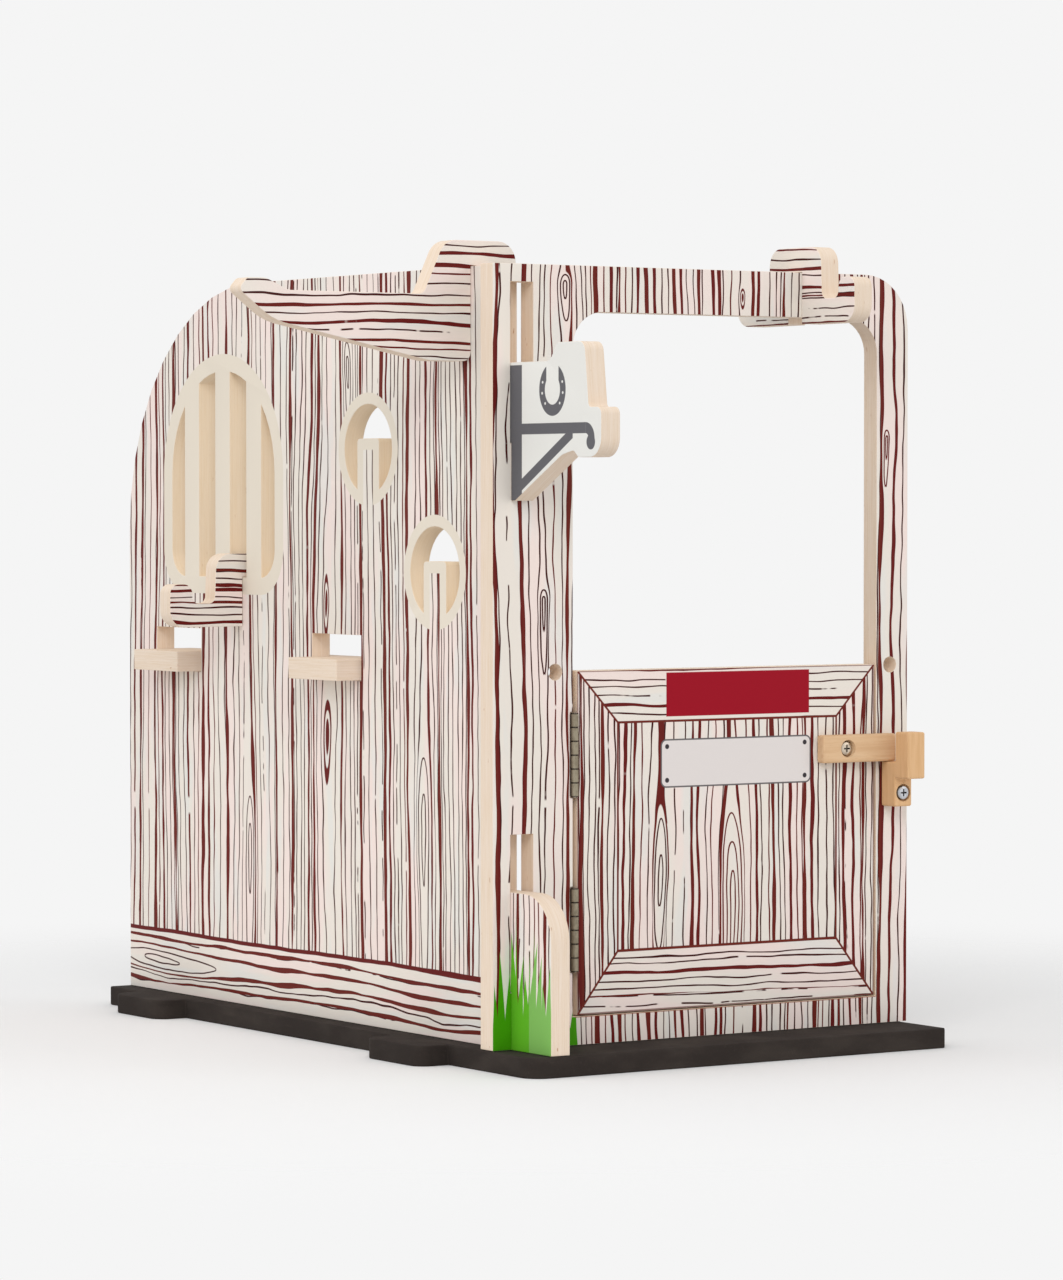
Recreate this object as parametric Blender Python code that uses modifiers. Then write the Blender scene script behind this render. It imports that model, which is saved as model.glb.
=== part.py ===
"""Toy horse stable: two slotted plywood panels on a foam mat, with a half-door.

The front panel is a closed portal with a hinged half-door and a turning latch bar.
The side wall hooks into two slots of the front panel and has a barred window.
Three hooked plywood pieces lift off: a rug rail and two double bridle hooks.

Run with: blender --background --python part.py
Units are metres, +Z is up, and the origin is the centre of the mat's underside.
"""

import math

import bmesh
import bpy
from mathutils import Matrix, Vector

MM = 0.001

# Sheet material and fits
PLY = 15.0 * MM
SEAT_GAP = 0.3 * MM
SLOT_PLAY = 2.9 * MM
DOOR_FOOT_GAP = 0.8 * MM
DOOR_LATCH_GAP = 2.0 * MM

# Front panel, seen from the front with its lower left corner at zero
PANEL_WIDTH = 348.0 * MM
PANEL_HEIGHT = 525.0 * MM
PANEL_CORNER = 37.0 * MM
LEFT_POST = 64.3 * MM
RIGHT_POST = 27.3 * MM
TOP_RAIL = 31.0 * MM
SILL_HEIGHT = 19.3 * MM
OPENING_CORNER = 24.0 * MM
PEG_HOLE_RADIUS = 5.5 * MM
PEG_HOLE_HEIGHT = 252.0 * MM
LEFT_PEG_HOLE = 50.0 * MM
RIGHT_PEG_MARGIN = 15.4 * MM
RIGHT_PEG_HOLE = PANEL_WIDTH - RIGHT_PEG_MARGIN

# Side wall: its own length is measured behind the front panel
WALL_INSET = 14.4 * MM
WALL_LENGTH = 512.0 * MM
WALL_CORNER = 181.0 * MM
HOOK_DROP = 38.5 * MM
WALL_START = PLY + SEAT_GAP
WALL_END = WALL_START + WALL_LENGTH

# Foam mat: it follows the panels, and its tabs are placed from its front and rear edges
MAT_THICKNESS = 14.0 * MM
PANEL_SETBACK = 50.0 * MM
PANEL_INSET = 1.5 * MM
PANEL_OVERHANG = 4.0 * MM
REAR_MARGIN = 3.7 * MM
MAT_WIDTH = PANEL_INSET + PANEL_WIDTH - PANEL_OVERHANG
MAT_DEPTH = PANEL_SETBACK + WALL_END + REAR_MARGIN
MAT_CORNER = 15.0 * MM
MAT_EDGE_CORNER = 2.0 * MM
TAB_CORNER = 12.0 * MM
MAT_TAB_REACH = 24.0 * MM
FRONT_TAB_START = 103.0 * MM
FRONT_TAB_LENGTH = 71.6 * MM
REAR_TAB_MARGIN = 48.0 * MM
REAR_TAB_LENGTH = 69.0 * MM
REAR_TAB_START = MAT_DEPTH - REAR_TAB_MARGIN - REAR_TAB_LENGTH

# Grass-shaped foot that hooks through the lower slot
FOOT_REACH = 48.5 * MM
FOOT_HEIGHT = 105.5 * MM
FOOT_CORNER = 42.0 * MM

# Sign plate that hooks through the upper slot, its heights taken from its top
SIGN_TOP_DROP = 54.0 * MM
SIGN_HEIGHT = 104.0 * MM
SIGN_NECK_DROP = 12.0 * MM
SIGN_BUMP_DROP = 43.0 * MM
SIGN_BUMP_HEIGHT = 32.7 * MM
SIGN_TOP = PANEL_HEIGHT - SIGN_TOP_DROP
SIGN_NECK_TOP = SIGN_TOP - SIGN_NECK_DROP
SIGN_BUMP_TOP = SIGN_TOP - SIGN_BUMP_DROP
SIGN_BUMP_BOTTOM = SIGN_BUMP_TOP - SIGN_BUMP_HEIGHT
SIGN_FOOT = SIGN_TOP - SIGN_HEIGHT
SIGN_SHOULDER = 47.0 * MM
SIGN_PLATE_REACH = 90.5 * MM
SIGN_BUMP_REACH = 107.0 * MM
SIGN_SLOT_SPARE = 3.5 * MM

# Arched window with upright bars, placed from the wall's rear edge and top
WINDOW_SETBACK = 141.3 * MM
WINDOW_TOP_DROP = 63.0 * MM
WINDOW_SIDE_HEIGHT = 75.5 * MM
WINDOW_RADIUS = 75.0 * MM
WINDOW_CENTRE = WALL_END - WINDOW_SETBACK
WINDOW_SPRING = PANEL_HEIGHT - WINDOW_TOP_DROP - WINDOW_RADIUS
WINDOW_SILL = WINDOW_SPRING - WINDOW_SIDE_HEIGHT
WINDOW_CORNER = 20.0 * MM
BAR_WIDTH = 21.5 * MM
BAR_PITCH = 45.3 * MM

# Round holes with a tongue standing up inside, the high one placed from the window
HANG_HOLE_RADIUS = 31.5 * MM
TONGUE_WIDTH = 29.0 * MM
TONGUE_RISE = 7.5 * MM
TONGUE_CORNER = 3.0 * MM
HIGH_HOLE_SPACING = 204.0 * MM
HIGH_HOLE_DROP = 122.0 * MM
LOW_HOLE_DROP = 207.0 * MM
HIGH_HOLE_DEPTH = WINDOW_CENTRE - HIGH_HOLE_SPACING
HIGH_HOLE_HEIGHT = PANEL_HEIGHT - HIGH_HOLE_DROP
LOW_HOLE_DEPTH = 95.0 * MM
LOW_HOLE_HEIGHT = PANEL_HEIGHT - LOW_HOLE_DROP

# Ledge that lies inside, below the window, and shows two tabs outside
LEDGE_HOLE_RISE = 32.0 * MM
LEDGE_DROP = 38.5 * MM
LEDGE_HEIGHT = WINDOW_SILL - LEDGE_DROP - LEDGE_HOLE_RISE
LEDGE_TAB_REACH = 20.0 * MM
LEDGE_TAB_PLAY = 0.4 * MM
LEDGE_TAB_LENGTH = 66.0 * MM
LEDGE_TAB_PITCH = 226.5 * MM
REAR_LEDGE_SETBACK = 108.8 * MM
REAR_LEDGE_TAB = WALL_END - REAR_LEDGE_SETBACK
FRONT_LEDGE_TAB = REAR_LEDGE_TAB - LEDGE_TAB_PITCH
LEDGE_INNER_WIDTH = 18.3 * MM
LEDGE_OVERHANG = 7.0 * MM

# Half-door
DOOR_HEIGHT = 232.4 * MM

# Butt hinges: the barrel is let into the post's front corner
LEAF_THICKNESS = 0.8 * MM
LEAF_SPACE = 1.4 * MM
LEAF_WIDTH = 11.0 * MM
HINGE_HEIGHT = 56.0 * MM
LOW_HINGE_HEIGHT = 50.0 * MM
HIGH_HINGE_HEIGHT = 168.0 * MM
BARREL_RADIUS = 2.8 * MM
BARREL_OFFSET = 0.6 * MM
BARREL_STAND_OFF = 1.0 * MM
PIN_RADIUS = 1.2 * MM
PIN_OVERRUN = 0.6 * MM
KNUCKLES = 6
KNUCKLE_GAP = 0.4 * MM
FINGER_INSET = 0.3 * MM
HINGE_SCREW_SPREAD = 34.0 * MM
SCREW_MARGIN = 4.5 * MM
HINGE_SCREW_LENGTH = 9.0 * MM
HINGE_SCREW_RADIUS = 1.2 * MM
HINGE_HEAD_RADIUS = 2.3 * MM
HINGE_HEAD_THICKNESS = 0.6 * MM
HEAD_SINK = 0.2 * MM

# Latch bar on the door and its keeper on the right post
LATCH_LENGTH = 60.0 * MM
LATCH_HEIGHT = 19.4 * MM
LATCH_THICKNESS = 8.0 * MM
LATCH_END = 20.7 * MM
LATCH_EDGE = 1.5 * MM
LATCH_OVERLAP = 4.3 * MM
KEEPER_WIDTH = 15.0 * MM
KEEPER_FOOT = 153.0 * MM
KEEPER_SEAT = 184.3 * MM
KEEPER_DEPTH = 15.7 * MM
KEEPER_RIGHT_MARGIN = 8.0 * MM
EAR_DEPTH = 15.0 * MM
EAR_FOOT = 173.0 * MM
EAR_TOP = 205.5 * MM
KEEPER_EDGE = 1.2 * MM
KEEPER_SCREW_HEIGHT = 9.6 * MM
KEEPER_RECESS_DEPTH = 2.5 * MM
LATCH_RECESS_DEPTH = 4.5 * MM
RECESS_PLAY = 1.2 * MM

# Pan-head screws of the latch
HEAD_RADIUS = 5.0 * MM
HEAD_HEIGHT = 2.6 * MM
HEAD_EDGE = 0.9 * MM
SHANK_RADIUS = 2.2 * MM
SCREW_BITE = 10.0 * MM
CROSS_LENGTH = 5.2 * MM
CROSS_WIDTH = 1.1 * MM
CROSS_DEPTH = 1.4 * MM

# Double bridle hooks, measured from the seat they hang on
HOOK_REACH = 68.0 * MM
HUMP_RISE = 17.0 * MM
HUMP_HALF_WIDTH = 29.5 * MM
HUMP_CORNER = 12.0 * MM
NOTCH_DEPTH = 19.0 * MM
NOTCH_WIDTH = 18.5 * MM
TIP_DROP = 5.0 * MM
TIP_CORNER = 7.0 * MM
NOTCH_CORNER = 5.0 * MM
ARM_DROP = 36.0 * MM
ARM_CORNER = 12.0 * MM
RAIL_HOOK_OFFSET = 255.0 * MM
WINDOW_HOOK_BAR_GAP = 4.0 * MM

# Rug rail over the top of the side wall, heights measured from its seat
RUG_SETBACK = 48.7 * MM
RUG_REACH = 180.4 * MM
RUG_ARM_DROP = 19.7 * MM
RUG_TIP_DROP = 12.0 * MM
RUG_TIP_LENGTH = 38.0 * MM
RUG_TIP_FLAT = 21.0 * MM
RUG_LEG_DROP = 64.3 * MM
RUG_LEG_WIDTH = 33.0 * MM
RUG_LEG_CORNER = 6.0 * MM
RUG_UNDERSIDE_DROP = 39.5 * MM
RUG_TAPER_LENGTH = 121.0 * MM
RUG_HUMP_RISE = 17.0 * MM
RUG_HUMP_HALF_WIDTH = 28.5 * MM
RUG_HUMP_LEAN = 17.0 * MM
RUG_HUMP_CORNER = 14.0 * MM
RUG_INNER_DROP = 34.3 * MM

# Smoothness of curved outlines and round pieces
ARC_STEP = math.radians(9.0)
ROUND_SIDES = 24
SMALL_SIDES = 16

# Places worked out from the sizes above, in the front panel's own axes
PANEL_ORIGIN = Vector((
    -MAT_WIDTH / 2 + PANEL_INSET,
    -MAT_DEPTH / 2 + PANEL_SETBACK,
    MAT_THICKNESS + SEAT_GAP,
))
MAT_LEFT = -PANEL_INSET
MAT_FRONT = -PANEL_SETBACK
OPENING_RIGHT = PANEL_WIDTH - RIGHT_POST
OPENING_TOP = PANEL_HEIGHT - TOP_RAIL
WALL_OUTER = WALL_INSET
WALL_INNER = WALL_INSET + PLY
WALL_MIDDLE = WALL_INSET + PLY / 2
LOWER_SLOT = (HOOK_DROP - SEAT_GAP, HOOK_DROP + FOOT_HEIGHT)
UPPER_SLOT = (
    SIGN_FOOT + HOOK_DROP - SEAT_GAP,
    SIGN_TOP + HOOK_DROP + SIGN_SLOT_SPARE,
)
HINGE_GAP = 2 * LEAF_THICKNESS + 2 * SEAT_GAP + LEAF_SPACE
DOOR_LEFT = LEFT_POST + HINGE_GAP
DOOR_RIGHT = OPENING_RIGHT - DOOR_LATCH_GAP
DOOR_BOTTOM = SILL_HEIGHT + DOOR_FOOT_GAP
DOOR_TOP = DOOR_BOTTOM + DOOR_HEIGHT
AXIS_X = LEFT_POST + BARREL_OFFSET
AXIS_Y = -BARREL_STAND_OFF
BORE_RADIUS = PIN_RADIUS + SEAT_GAP
KEEPER_RIGHT = PANEL_WIDTH - KEEPER_RIGHT_MARGIN
KEEPER_LEFT = KEEPER_RIGHT - KEEPER_WIDTH
LATCH_RIGHT = KEEPER_LEFT + LATCH_OVERLAP
LATCH_LEFT = LATCH_RIGHT - LATCH_LENGTH
LATCH_BOTTOM = KEEPER_SEAT + SEAT_GAP
PIVOT_X = LATCH_LEFT + LATCH_END
PIVOT_Z = LATCH_BOTTOM + LATCH_HEIGHT / 2
KEEPER_SCREW_X = (KEEPER_LEFT + KEEPER_RIGHT) / 2
KEEPER_SCREW_Z = KEEPER_FOOT + KEEPER_SCREW_HEIGHT
RECESS_RADIUS = HEAD_RADIUS + RECESS_PLAY
WALL_TOP_SEAT = PANEL_HEIGHT + SEAT_GAP
SLOT_HALF = PLY / 2 + SEAT_GAP


def clear_scene():
    """Remove every object so that the script starts from an empty scene."""
    for item in list(bpy.data.objects):
        bpy.data.objects.remove(item, do_unlink=True)


def new_collection(name):
    """Return a new collection linked to the scene."""
    group = bpy.data.collections.new(name)
    bpy.context.scene.collection.children.link(group)
    return group


def new_material(name, colour, roughness, metallic=0.0):
    """Return a Principled material with a plain colour."""
    made = bpy.data.materials.new(name)
    made.use_nodes = True
    shader = made.node_tree.nodes["Principled BSDF"]
    shader.inputs["Base Color"].default_value = (*colour, 1.0)
    shader.inputs["Roughness"].default_value = roughness
    shader.inputs["Metallic"].default_value = metallic
    return made


def move_to(item, group):
    """Put an object in one collection only."""
    for owner in list(item.users_collection):
        owner.objects.unlink(item)
    group.objects.link(item)


def turned(vector, angle):
    """Return a 2D vector turned counterclockwise by an angle."""
    sine = math.sin(angle)
    cosine = math.cos(angle)
    return Vector((vector.x * cosine - vector.y * sine, vector.x * sine + vector.y * cosine))


def rounded(corners):
    """Return an outline through corners (x, y, radius), each rounded by its radius."""
    outline = []
    count = len(corners)
    for index, (x, y, radius) in enumerate(corners):
        here = Vector((x, y))
        back = Vector(corners[index - 1][:2]) - here
        ahead = Vector(corners[(index + 1) % count][:2]) - here
        if radius <= 0.0:
            outline.append(here)
            continue
        half = back.angle(ahead) / 2
        longest = 0.49 * min(back.length, ahead.length)
        reach = min(radius / math.tan(half), longest)
        radius = reach * math.tan(half)
        middle = (back.normalized() + ahead.normalized()).normalized()
        centre = here + middle * (radius / math.sin(half))
        first = here + back.normalized() * reach - centre
        last = here + ahead.normalized() * reach - centre
        sweep = math.atan2(first.x * last.y - first.y * last.x, first.dot(last))
        steps = max(2, math.ceil(abs(sweep) / ARC_STEP))
        for step in range(steps + 1):
            outline.append(centre + turned(first, sweep * step / steps))
    return outline


def arc(centre_x, centre_y, radius, start, stop):
    """Return points on an arc, both ends included."""
    steps = max(2, math.ceil(abs(stop - start) / ARC_STEP))
    points = []
    for step in range(steps + 1):
        angle = start + (stop - start) * step / steps
        points.append(Vector((
            centre_x + radius * math.cos(angle),
            centre_y + radius * math.sin(angle),
        )))
    return points


def to_mesh_object(curve_object, group):
    """Replace a curve object by a closed mesh object at the same place."""
    bpy.context.view_layer.update()
    graph = bpy.context.evaluated_depsgraph_get()
    mesh = bpy.data.meshes.new_from_object(curve_object.evaluated_get(graph))
    work = bmesh.new()
    work.from_mesh(mesh)
    bmesh.ops.remove_doubles(work, verts=work.verts, dist=0.00001)
    bmesh.ops.recalc_face_normals(work, faces=work.faces)
    work.to_mesh(mesh)
    work.free()
    name = curve_object.name
    place = curve_object.matrix_world.copy()
    bpy.data.objects.remove(curve_object, do_unlink=True)
    made = bpy.data.objects.new(name, mesh)
    group.objects.link(made)
    made.matrix_world = place
    return made


def plate(name, outlines, thickness, group):
    """Return a flat plate in the XY plane, centred on it, from its outline and holes."""
    data = bpy.data.curves.new(name, "CURVE")
    data.dimensions = "2D"
    data.fill_mode = "BOTH"
    data.extrude = thickness / 2
    for outline in outlines:
        spline = data.splines.new("POLY")
        spline.points.add(len(outline) - 1)
        for point, place in zip(spline.points, outline):
            point.co = (place.x, place.y, 0.0, 1.0)
        spline.use_cyclic_u = True
    flat = bpy.data.objects.new(name, data)
    group.objects.link(flat)
    return to_mesh_object(flat, group)


def bake(item, matrix):
    """Transform the mesh itself and leave the object at rest."""
    item.data.transform(matrix)
    item.matrix_world = Matrix.Identity(4)


def facing_front(offset):
    """Return the matrix that stands an (x, z) plate up at a distance along Y."""
    return Matrix.Translation((0.0, offset, 0.0)) @ Matrix.Rotation(math.pi / 2, 4, "X")


def facing_side(offset):
    """Return the matrix that stands a (y, z) plate up at a distance along X."""
    turn = Matrix(((0, 0, 1, 0), (1, 0, 0, 0), (0, 1, 0, 0), (0, 0, 0, 1)))
    return Matrix.Translation((offset, 0.0, 0.0)) @ turn


def box(name, low, high, group):
    """Return a box between two corners, with its mesh at its true place."""
    bpy.ops.mesh.primitive_cube_add(size=1.0)
    item = bpy.context.active_object
    item.name = name
    low = Vector(low)
    high = Vector(high)
    size = high - low
    bake(item, Matrix.Translation((low + high) / 2) @ Matrix.Diagonal((*size, 1.0)))
    move_to(item, group)
    return item


def rod(name, start, axis, length, radius, sides, group):
    """Return a cylinder from a start point along the X, Y or Z axis, by a signed length."""
    bpy.ops.mesh.primitive_cylinder_add(vertices=sides, radius=radius, depth=abs(length))
    item = bpy.context.active_object
    item.name = name
    turn = Matrix.Identity(4)
    if axis == "X":
        turn = Matrix.Rotation(math.pi / 2, 4, "Y")
    elif axis == "Y":
        turn = Matrix.Rotation(math.pi / 2, 4, "X")
    middle = Vector(start)
    middle["XYZ".index(axis)] += length / 2
    bake(item, Matrix.Translation(middle) @ turn)
    move_to(item, group)
    return item


def cutter(item):
    """Mark an object as a cutter that isn't part of the model."""
    item.hide_render = True
    item.display_type = "WIRE"
    return item


def cut(item, tool):
    """Cut one object by another with a Boolean modifier."""
    change = item.modifiers.new("Cut " + tool.name, "BOOLEAN")
    change.operation = "DIFFERENCE"
    change.solver = "EXACT"
    change.object = cutter(tool)


def join(item, tool):
    """Join another object's shape to an object with a Boolean modifier."""
    change = item.modifiers.new("Join " + tool.name, "BOOLEAN")
    change.operation = "UNION"
    change.solver = "EXACT"
    change.object = cutter(tool)


def soften(item, width, segments=2):
    """Round the sharp edges of an object."""
    change = item.modifiers.new("Soft edges", "BEVEL")
    change.width = width
    change.segments = segments
    change.limit_method = "ANGLE"
    change.angle_limit = math.radians(40.0)


def smooth(item):
    """Shade a round piece smooth and keep its real edges sharp."""
    item.data.shade_smooth()
    item.data.set_sharp_from_angle(angle=math.radians(35.0))


def seat(item, origin, parent, material):
    """Give an object an origin, a parent and a material; its cutters follow it."""
    origin = Vector(origin)
    item.data.transform(Matrix.Translation(-origin))
    for change in item.modifiers:
        if change.type == "BOOLEAN":
            change.object.data.transform(Matrix.Translation(-origin))
            change.object.parent = item
    item.parent = parent
    item.location = origin - base_of(parent)
    item.data.materials.clear()
    item.data.materials.append(material)
    return item


def base_of(parent):
    """Return an empty's place in the front panel's axes."""
    if parent.parent is None:
        return Vector((0.0, 0.0, 0.0))
    return parent.location.copy()


def new_empty(name, place, parent, group):
    """Return an empty, used as a frame or as a joint's axis."""
    item = bpy.data.objects.new(name, None)
    item.empty_display_size = 0.03
    group.objects.link(item)
    item.parent = parent
    item.location = place
    return item


def mat_outline():
    """Return the mat's outline: a rectangle with two tabs on its left side."""
    left = MAT_LEFT
    right = MAT_LEFT + MAT_WIDTH
    front = MAT_FRONT
    back = MAT_FRONT + MAT_DEPTH
    corners = [
        (left, front, MAT_CORNER),
        (right, front, MAT_EDGE_CORNER),
        (right, back, MAT_EDGE_CORNER),
        (left, back, MAT_EDGE_CORNER),
    ]
    tabs = ((REAR_TAB_START, REAR_TAB_LENGTH), (FRONT_TAB_START, FRONT_TAB_LENGTH))
    for start, length in tabs:
        near = front + start
        far = near + length
        corners.append((left, far, 0.0))
        corners.append((left - MAT_TAB_REACH, far, TAB_CORNER))
        corners.append((left - MAT_TAB_REACH, near, TAB_CORNER))
        corners.append((left, near, 0.0))
    return rounded(corners)


def rectangle(x_low, y_low, x_high, y_high, radius=0.0):
    """Return a rectangle's outline, with rounded corners where a radius is given."""
    return rounded([
        (x_low, y_low, radius),
        (x_high, y_low, radius),
        (x_high, y_high, radius),
        (x_low, y_high, radius),
    ])


def panel_outlines():
    """Return the front panel's outline and holes as (x, z) points."""
    outer = rounded([
        (0.0, 0.0, 0.0),
        (PANEL_WIDTH, 0.0, 0.0),
        (PANEL_WIDTH, PANEL_HEIGHT, PANEL_CORNER),
        (0.0, PANEL_HEIGHT, 0.0),
    ])
    doorway = rounded([
        (LEFT_POST, SILL_HEIGHT, 0.0),
        (OPENING_RIGHT, SILL_HEIGHT, 0.0),
        (OPENING_RIGHT, OPENING_TOP, OPENING_CORNER),
        (LEFT_POST, OPENING_TOP, OPENING_CORNER),
    ])
    slot_left = WALL_OUTER - SEAT_GAP
    slot_right = WALL_INNER + SLOT_PLAY
    lower = rectangle(slot_left, LOWER_SLOT[0], slot_right, LOWER_SLOT[1])
    upper = rectangle(slot_left, UPPER_SLOT[0], slot_right, UPPER_SLOT[1])
    holes = []
    for across in (LEFT_PEG_HOLE, RIGHT_PEG_HOLE):
        ring = arc(across, PEG_HOLE_HEIGHT, PEG_HOLE_RADIUS, 0.0, 2 * math.pi)
        holes.append(ring[:-1])
    return [outer, doorway, lower, upper, *holes]


def sign_corners():
    """Return the corners of the sign plate in front of the upper slot, top to bottom."""
    return [
        (-SEAT_GAP, SIGN_NECK_TOP, 0.0),
        (-SIGN_SHOULDER, SIGN_NECK_TOP, 8.0 * MM),
        (-SIGN_SHOULDER - 8.0 * MM, SIGN_TOP, 6.0 * MM),
        (-SIGN_PLATE_REACH + 3.0 * MM, SIGN_TOP, 7.0 * MM),
        (-SIGN_PLATE_REACH - 2.0 * MM, SIGN_BUMP_TOP, 3.0 * MM),
        (-SIGN_BUMP_REACH, SIGN_BUMP_TOP, 5.0 * MM),
        (-SIGN_BUMP_REACH, SIGN_BUMP_BOTTOM, 13.0 * MM),
        (-SIGN_BUMP_REACH + 27.0 * MM, SIGN_BUMP_BOTTOM, 5.0 * MM),
        (-SIGN_BUMP_REACH + 32.0 * MM, SIGN_BUMP_BOTTOM + 4.7 * MM, 5.0 * MM),
        (-SIGN_BUMP_REACH + 46.0 * MM, SIGN_BUMP_BOTTOM + 1.7 * MM, 14.0 * MM),
        (-5.0 * MM, SIGN_FOOT, 2.0 * MM),
        (-SEAT_GAP, SIGN_FOOT, 0.0),
    ]


def wall_outer():
    """Return the side wall's outline as (y, z) points, with both hooks."""
    lower_neck = HOOK_DROP
    upper_neck = SIGN_FOOT + HOOK_DROP
    corners = [
        (WALL_END, 0.0, 0.0),
        (WALL_END, PANEL_HEIGHT, WALL_CORNER),
        (WALL_START, PANEL_HEIGHT, 0.0),
        (WALL_START, SIGN_NECK_TOP, 0.0),
        *sign_corners(),
        (-SEAT_GAP, upper_neck, 0.0),
        (WALL_START, upper_neck, 0.0),
        (WALL_START, FOOT_HEIGHT, 0.0),
        (-FOOT_REACH, FOOT_HEIGHT, FOOT_CORNER),
        (-FOOT_REACH, 0.0, 0.0),
        (-SEAT_GAP, 0.0, 0.0),
        (-SEAT_GAP, lower_neck, 0.0),
        (WALL_START, lower_neck, 0.0),
        (WALL_START, 0.0, 0.0),
    ]
    return rounded(corners)


def window_floor(low, high):
    """Return the window's lower edge between two Y values, left to right."""
    left = WINDOW_CENTRE - WINDOW_RADIUS + WINDOW_CORNER
    right = WINDOW_CENTRE + WINDOW_RADIUS - WINDOW_CORNER
    height = WINDOW_SILL + WINDOW_CORNER
    edge = arc(left, height, WINDOW_CORNER, math.pi, 1.5 * math.pi)
    edge += arc(right, height, WINDOW_CORNER, 1.5 * math.pi, 2 * math.pi)
    inside = [point for point in edge if low < point.x < high]
    ends = []
    for place in (low, high):
        drop = max(abs(place - WINDOW_CENTRE) - (WINDOW_RADIUS - WINDOW_CORNER), 0.0)
        rise = WINDOW_CORNER - math.sqrt(max(WINDOW_CORNER ** 2 - drop ** 2, 0.0))
        ends.append(Vector((place, WINDOW_SILL + rise)))
    return [ends[0], *inside, ends[1]]


def window_gap(low, high):
    """Return the outline of one clear strip of the arched window."""
    start = math.acos(max(-1.0, min(1.0, (high - WINDOW_CENTRE) / WINDOW_RADIUS)))
    stop = math.acos(max(-1.0, min(1.0, (low - WINDOW_CENTRE) / WINDOW_RADIUS)))
    crown = arc(WINDOW_CENTRE, WINDOW_SPRING, WINDOW_RADIUS, start, stop)
    return window_floor(low, high) + crown


def window_gaps():
    """Return the four clear strips between and beside the three bars."""
    edges = [WINDOW_CENTRE - WINDOW_RADIUS]
    for step in (-1, 0, 1):
        middle = WINDOW_CENTRE + step * BAR_PITCH
        edges += [middle - BAR_WIDTH / 2, middle + BAR_WIDTH / 2]
    edges.append(WINDOW_CENTRE + WINDOW_RADIUS)
    return [window_gap(edges[index], edges[index + 1]) for index in range(0, len(edges), 2)]


def hang_hole(depth, height):
    """Return a round hole with a square tongue standing up from its lower edge."""
    half = math.asin(TONGUE_WIDTH / 2 / HANG_HOLE_RADIUS)
    start = -math.pi / 2 + half
    stop = 1.5 * math.pi - half
    ring = arc(depth, height, HANG_HOLE_RADIUS, start, stop)
    top = height + TONGUE_RISE
    left = depth - TONGUE_WIDTH / 2
    right = depth + TONGUE_WIDTH / 2
    crest = rounded([
        (left, height - HANG_HOLE_RADIUS, 0.0),
        (left, top, TONGUE_CORNER),
        (right, top, TONGUE_CORNER),
        (right, height - HANG_HOLE_RADIUS, 0.0),
    ])
    return ring + crest[1:-1]


def ledge_holes():
    """Return the two rectangular holes that the ledge's tabs pass through."""
    holes = []
    for start in (FRONT_LEDGE_TAB, REAR_LEDGE_TAB):
        low = start - LEDGE_TAB_PLAY
        high = start + LEDGE_TAB_LENGTH + LEDGE_TAB_PLAY
        holes.append(rectangle(low, LEDGE_HEIGHT, high, LEDGE_HEIGHT + LEDGE_HOLE_RISE))
    return holes


def ledge_outline():
    """Return the ledge's outline as (x, y) points: a strip with two outward tabs."""
    inner = WALL_INNER + SEAT_GAP
    edge = inner + LEDGE_INNER_WIDTH
    outer = WALL_OUTER - LEDGE_TAB_REACH
    front = FRONT_LEDGE_TAB - LEDGE_OVERHANG
    back = REAR_LEDGE_TAB + LEDGE_TAB_LENGTH + LEDGE_OVERHANG
    corners = [(inner, front, 0.0), (edge, front, 4.0 * MM), (edge, back, 4.0 * MM), (inner, back, 0.0)]
    for start in (REAR_LEDGE_TAB, FRONT_LEDGE_TAB):
        corners.append((inner, start + LEDGE_TAB_LENGTH, 0.0))
        corners.append((outer, start + LEDGE_TAB_LENGTH, 1.0 * MM))
        corners.append((outer, start, 1.0 * MM))
        corners.append((inner, start, 0.0))
    return rounded(corners)


def double_hook_outline():
    """Return a double hook's outline about its seat: the slot under it is open below."""
    notch_near = HOOK_REACH - NOTCH_WIDTH
    notch_far = notch_near - NOTCH_WIDTH
    right = [
        (SLOT_HALF, 0.0, 0.0),
        (SLOT_HALF, -ARM_DROP, 1.0 * MM),
        (HOOK_REACH, -ARM_DROP, ARM_CORNER),
        (HOOK_REACH, -TIP_DROP, TIP_CORNER),
        (notch_near, -TIP_DROP, TIP_CORNER),
        (notch_near, -NOTCH_DEPTH, NOTCH_CORNER),
        (notch_far, -NOTCH_DEPTH, NOTCH_CORNER),
        (HUMP_HALF_WIDTH, HUMP_RISE, HUMP_CORNER),
    ]
    left = [(-x, y, radius) for x, y, radius in reversed(right)]
    return rounded(right + left)


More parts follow.
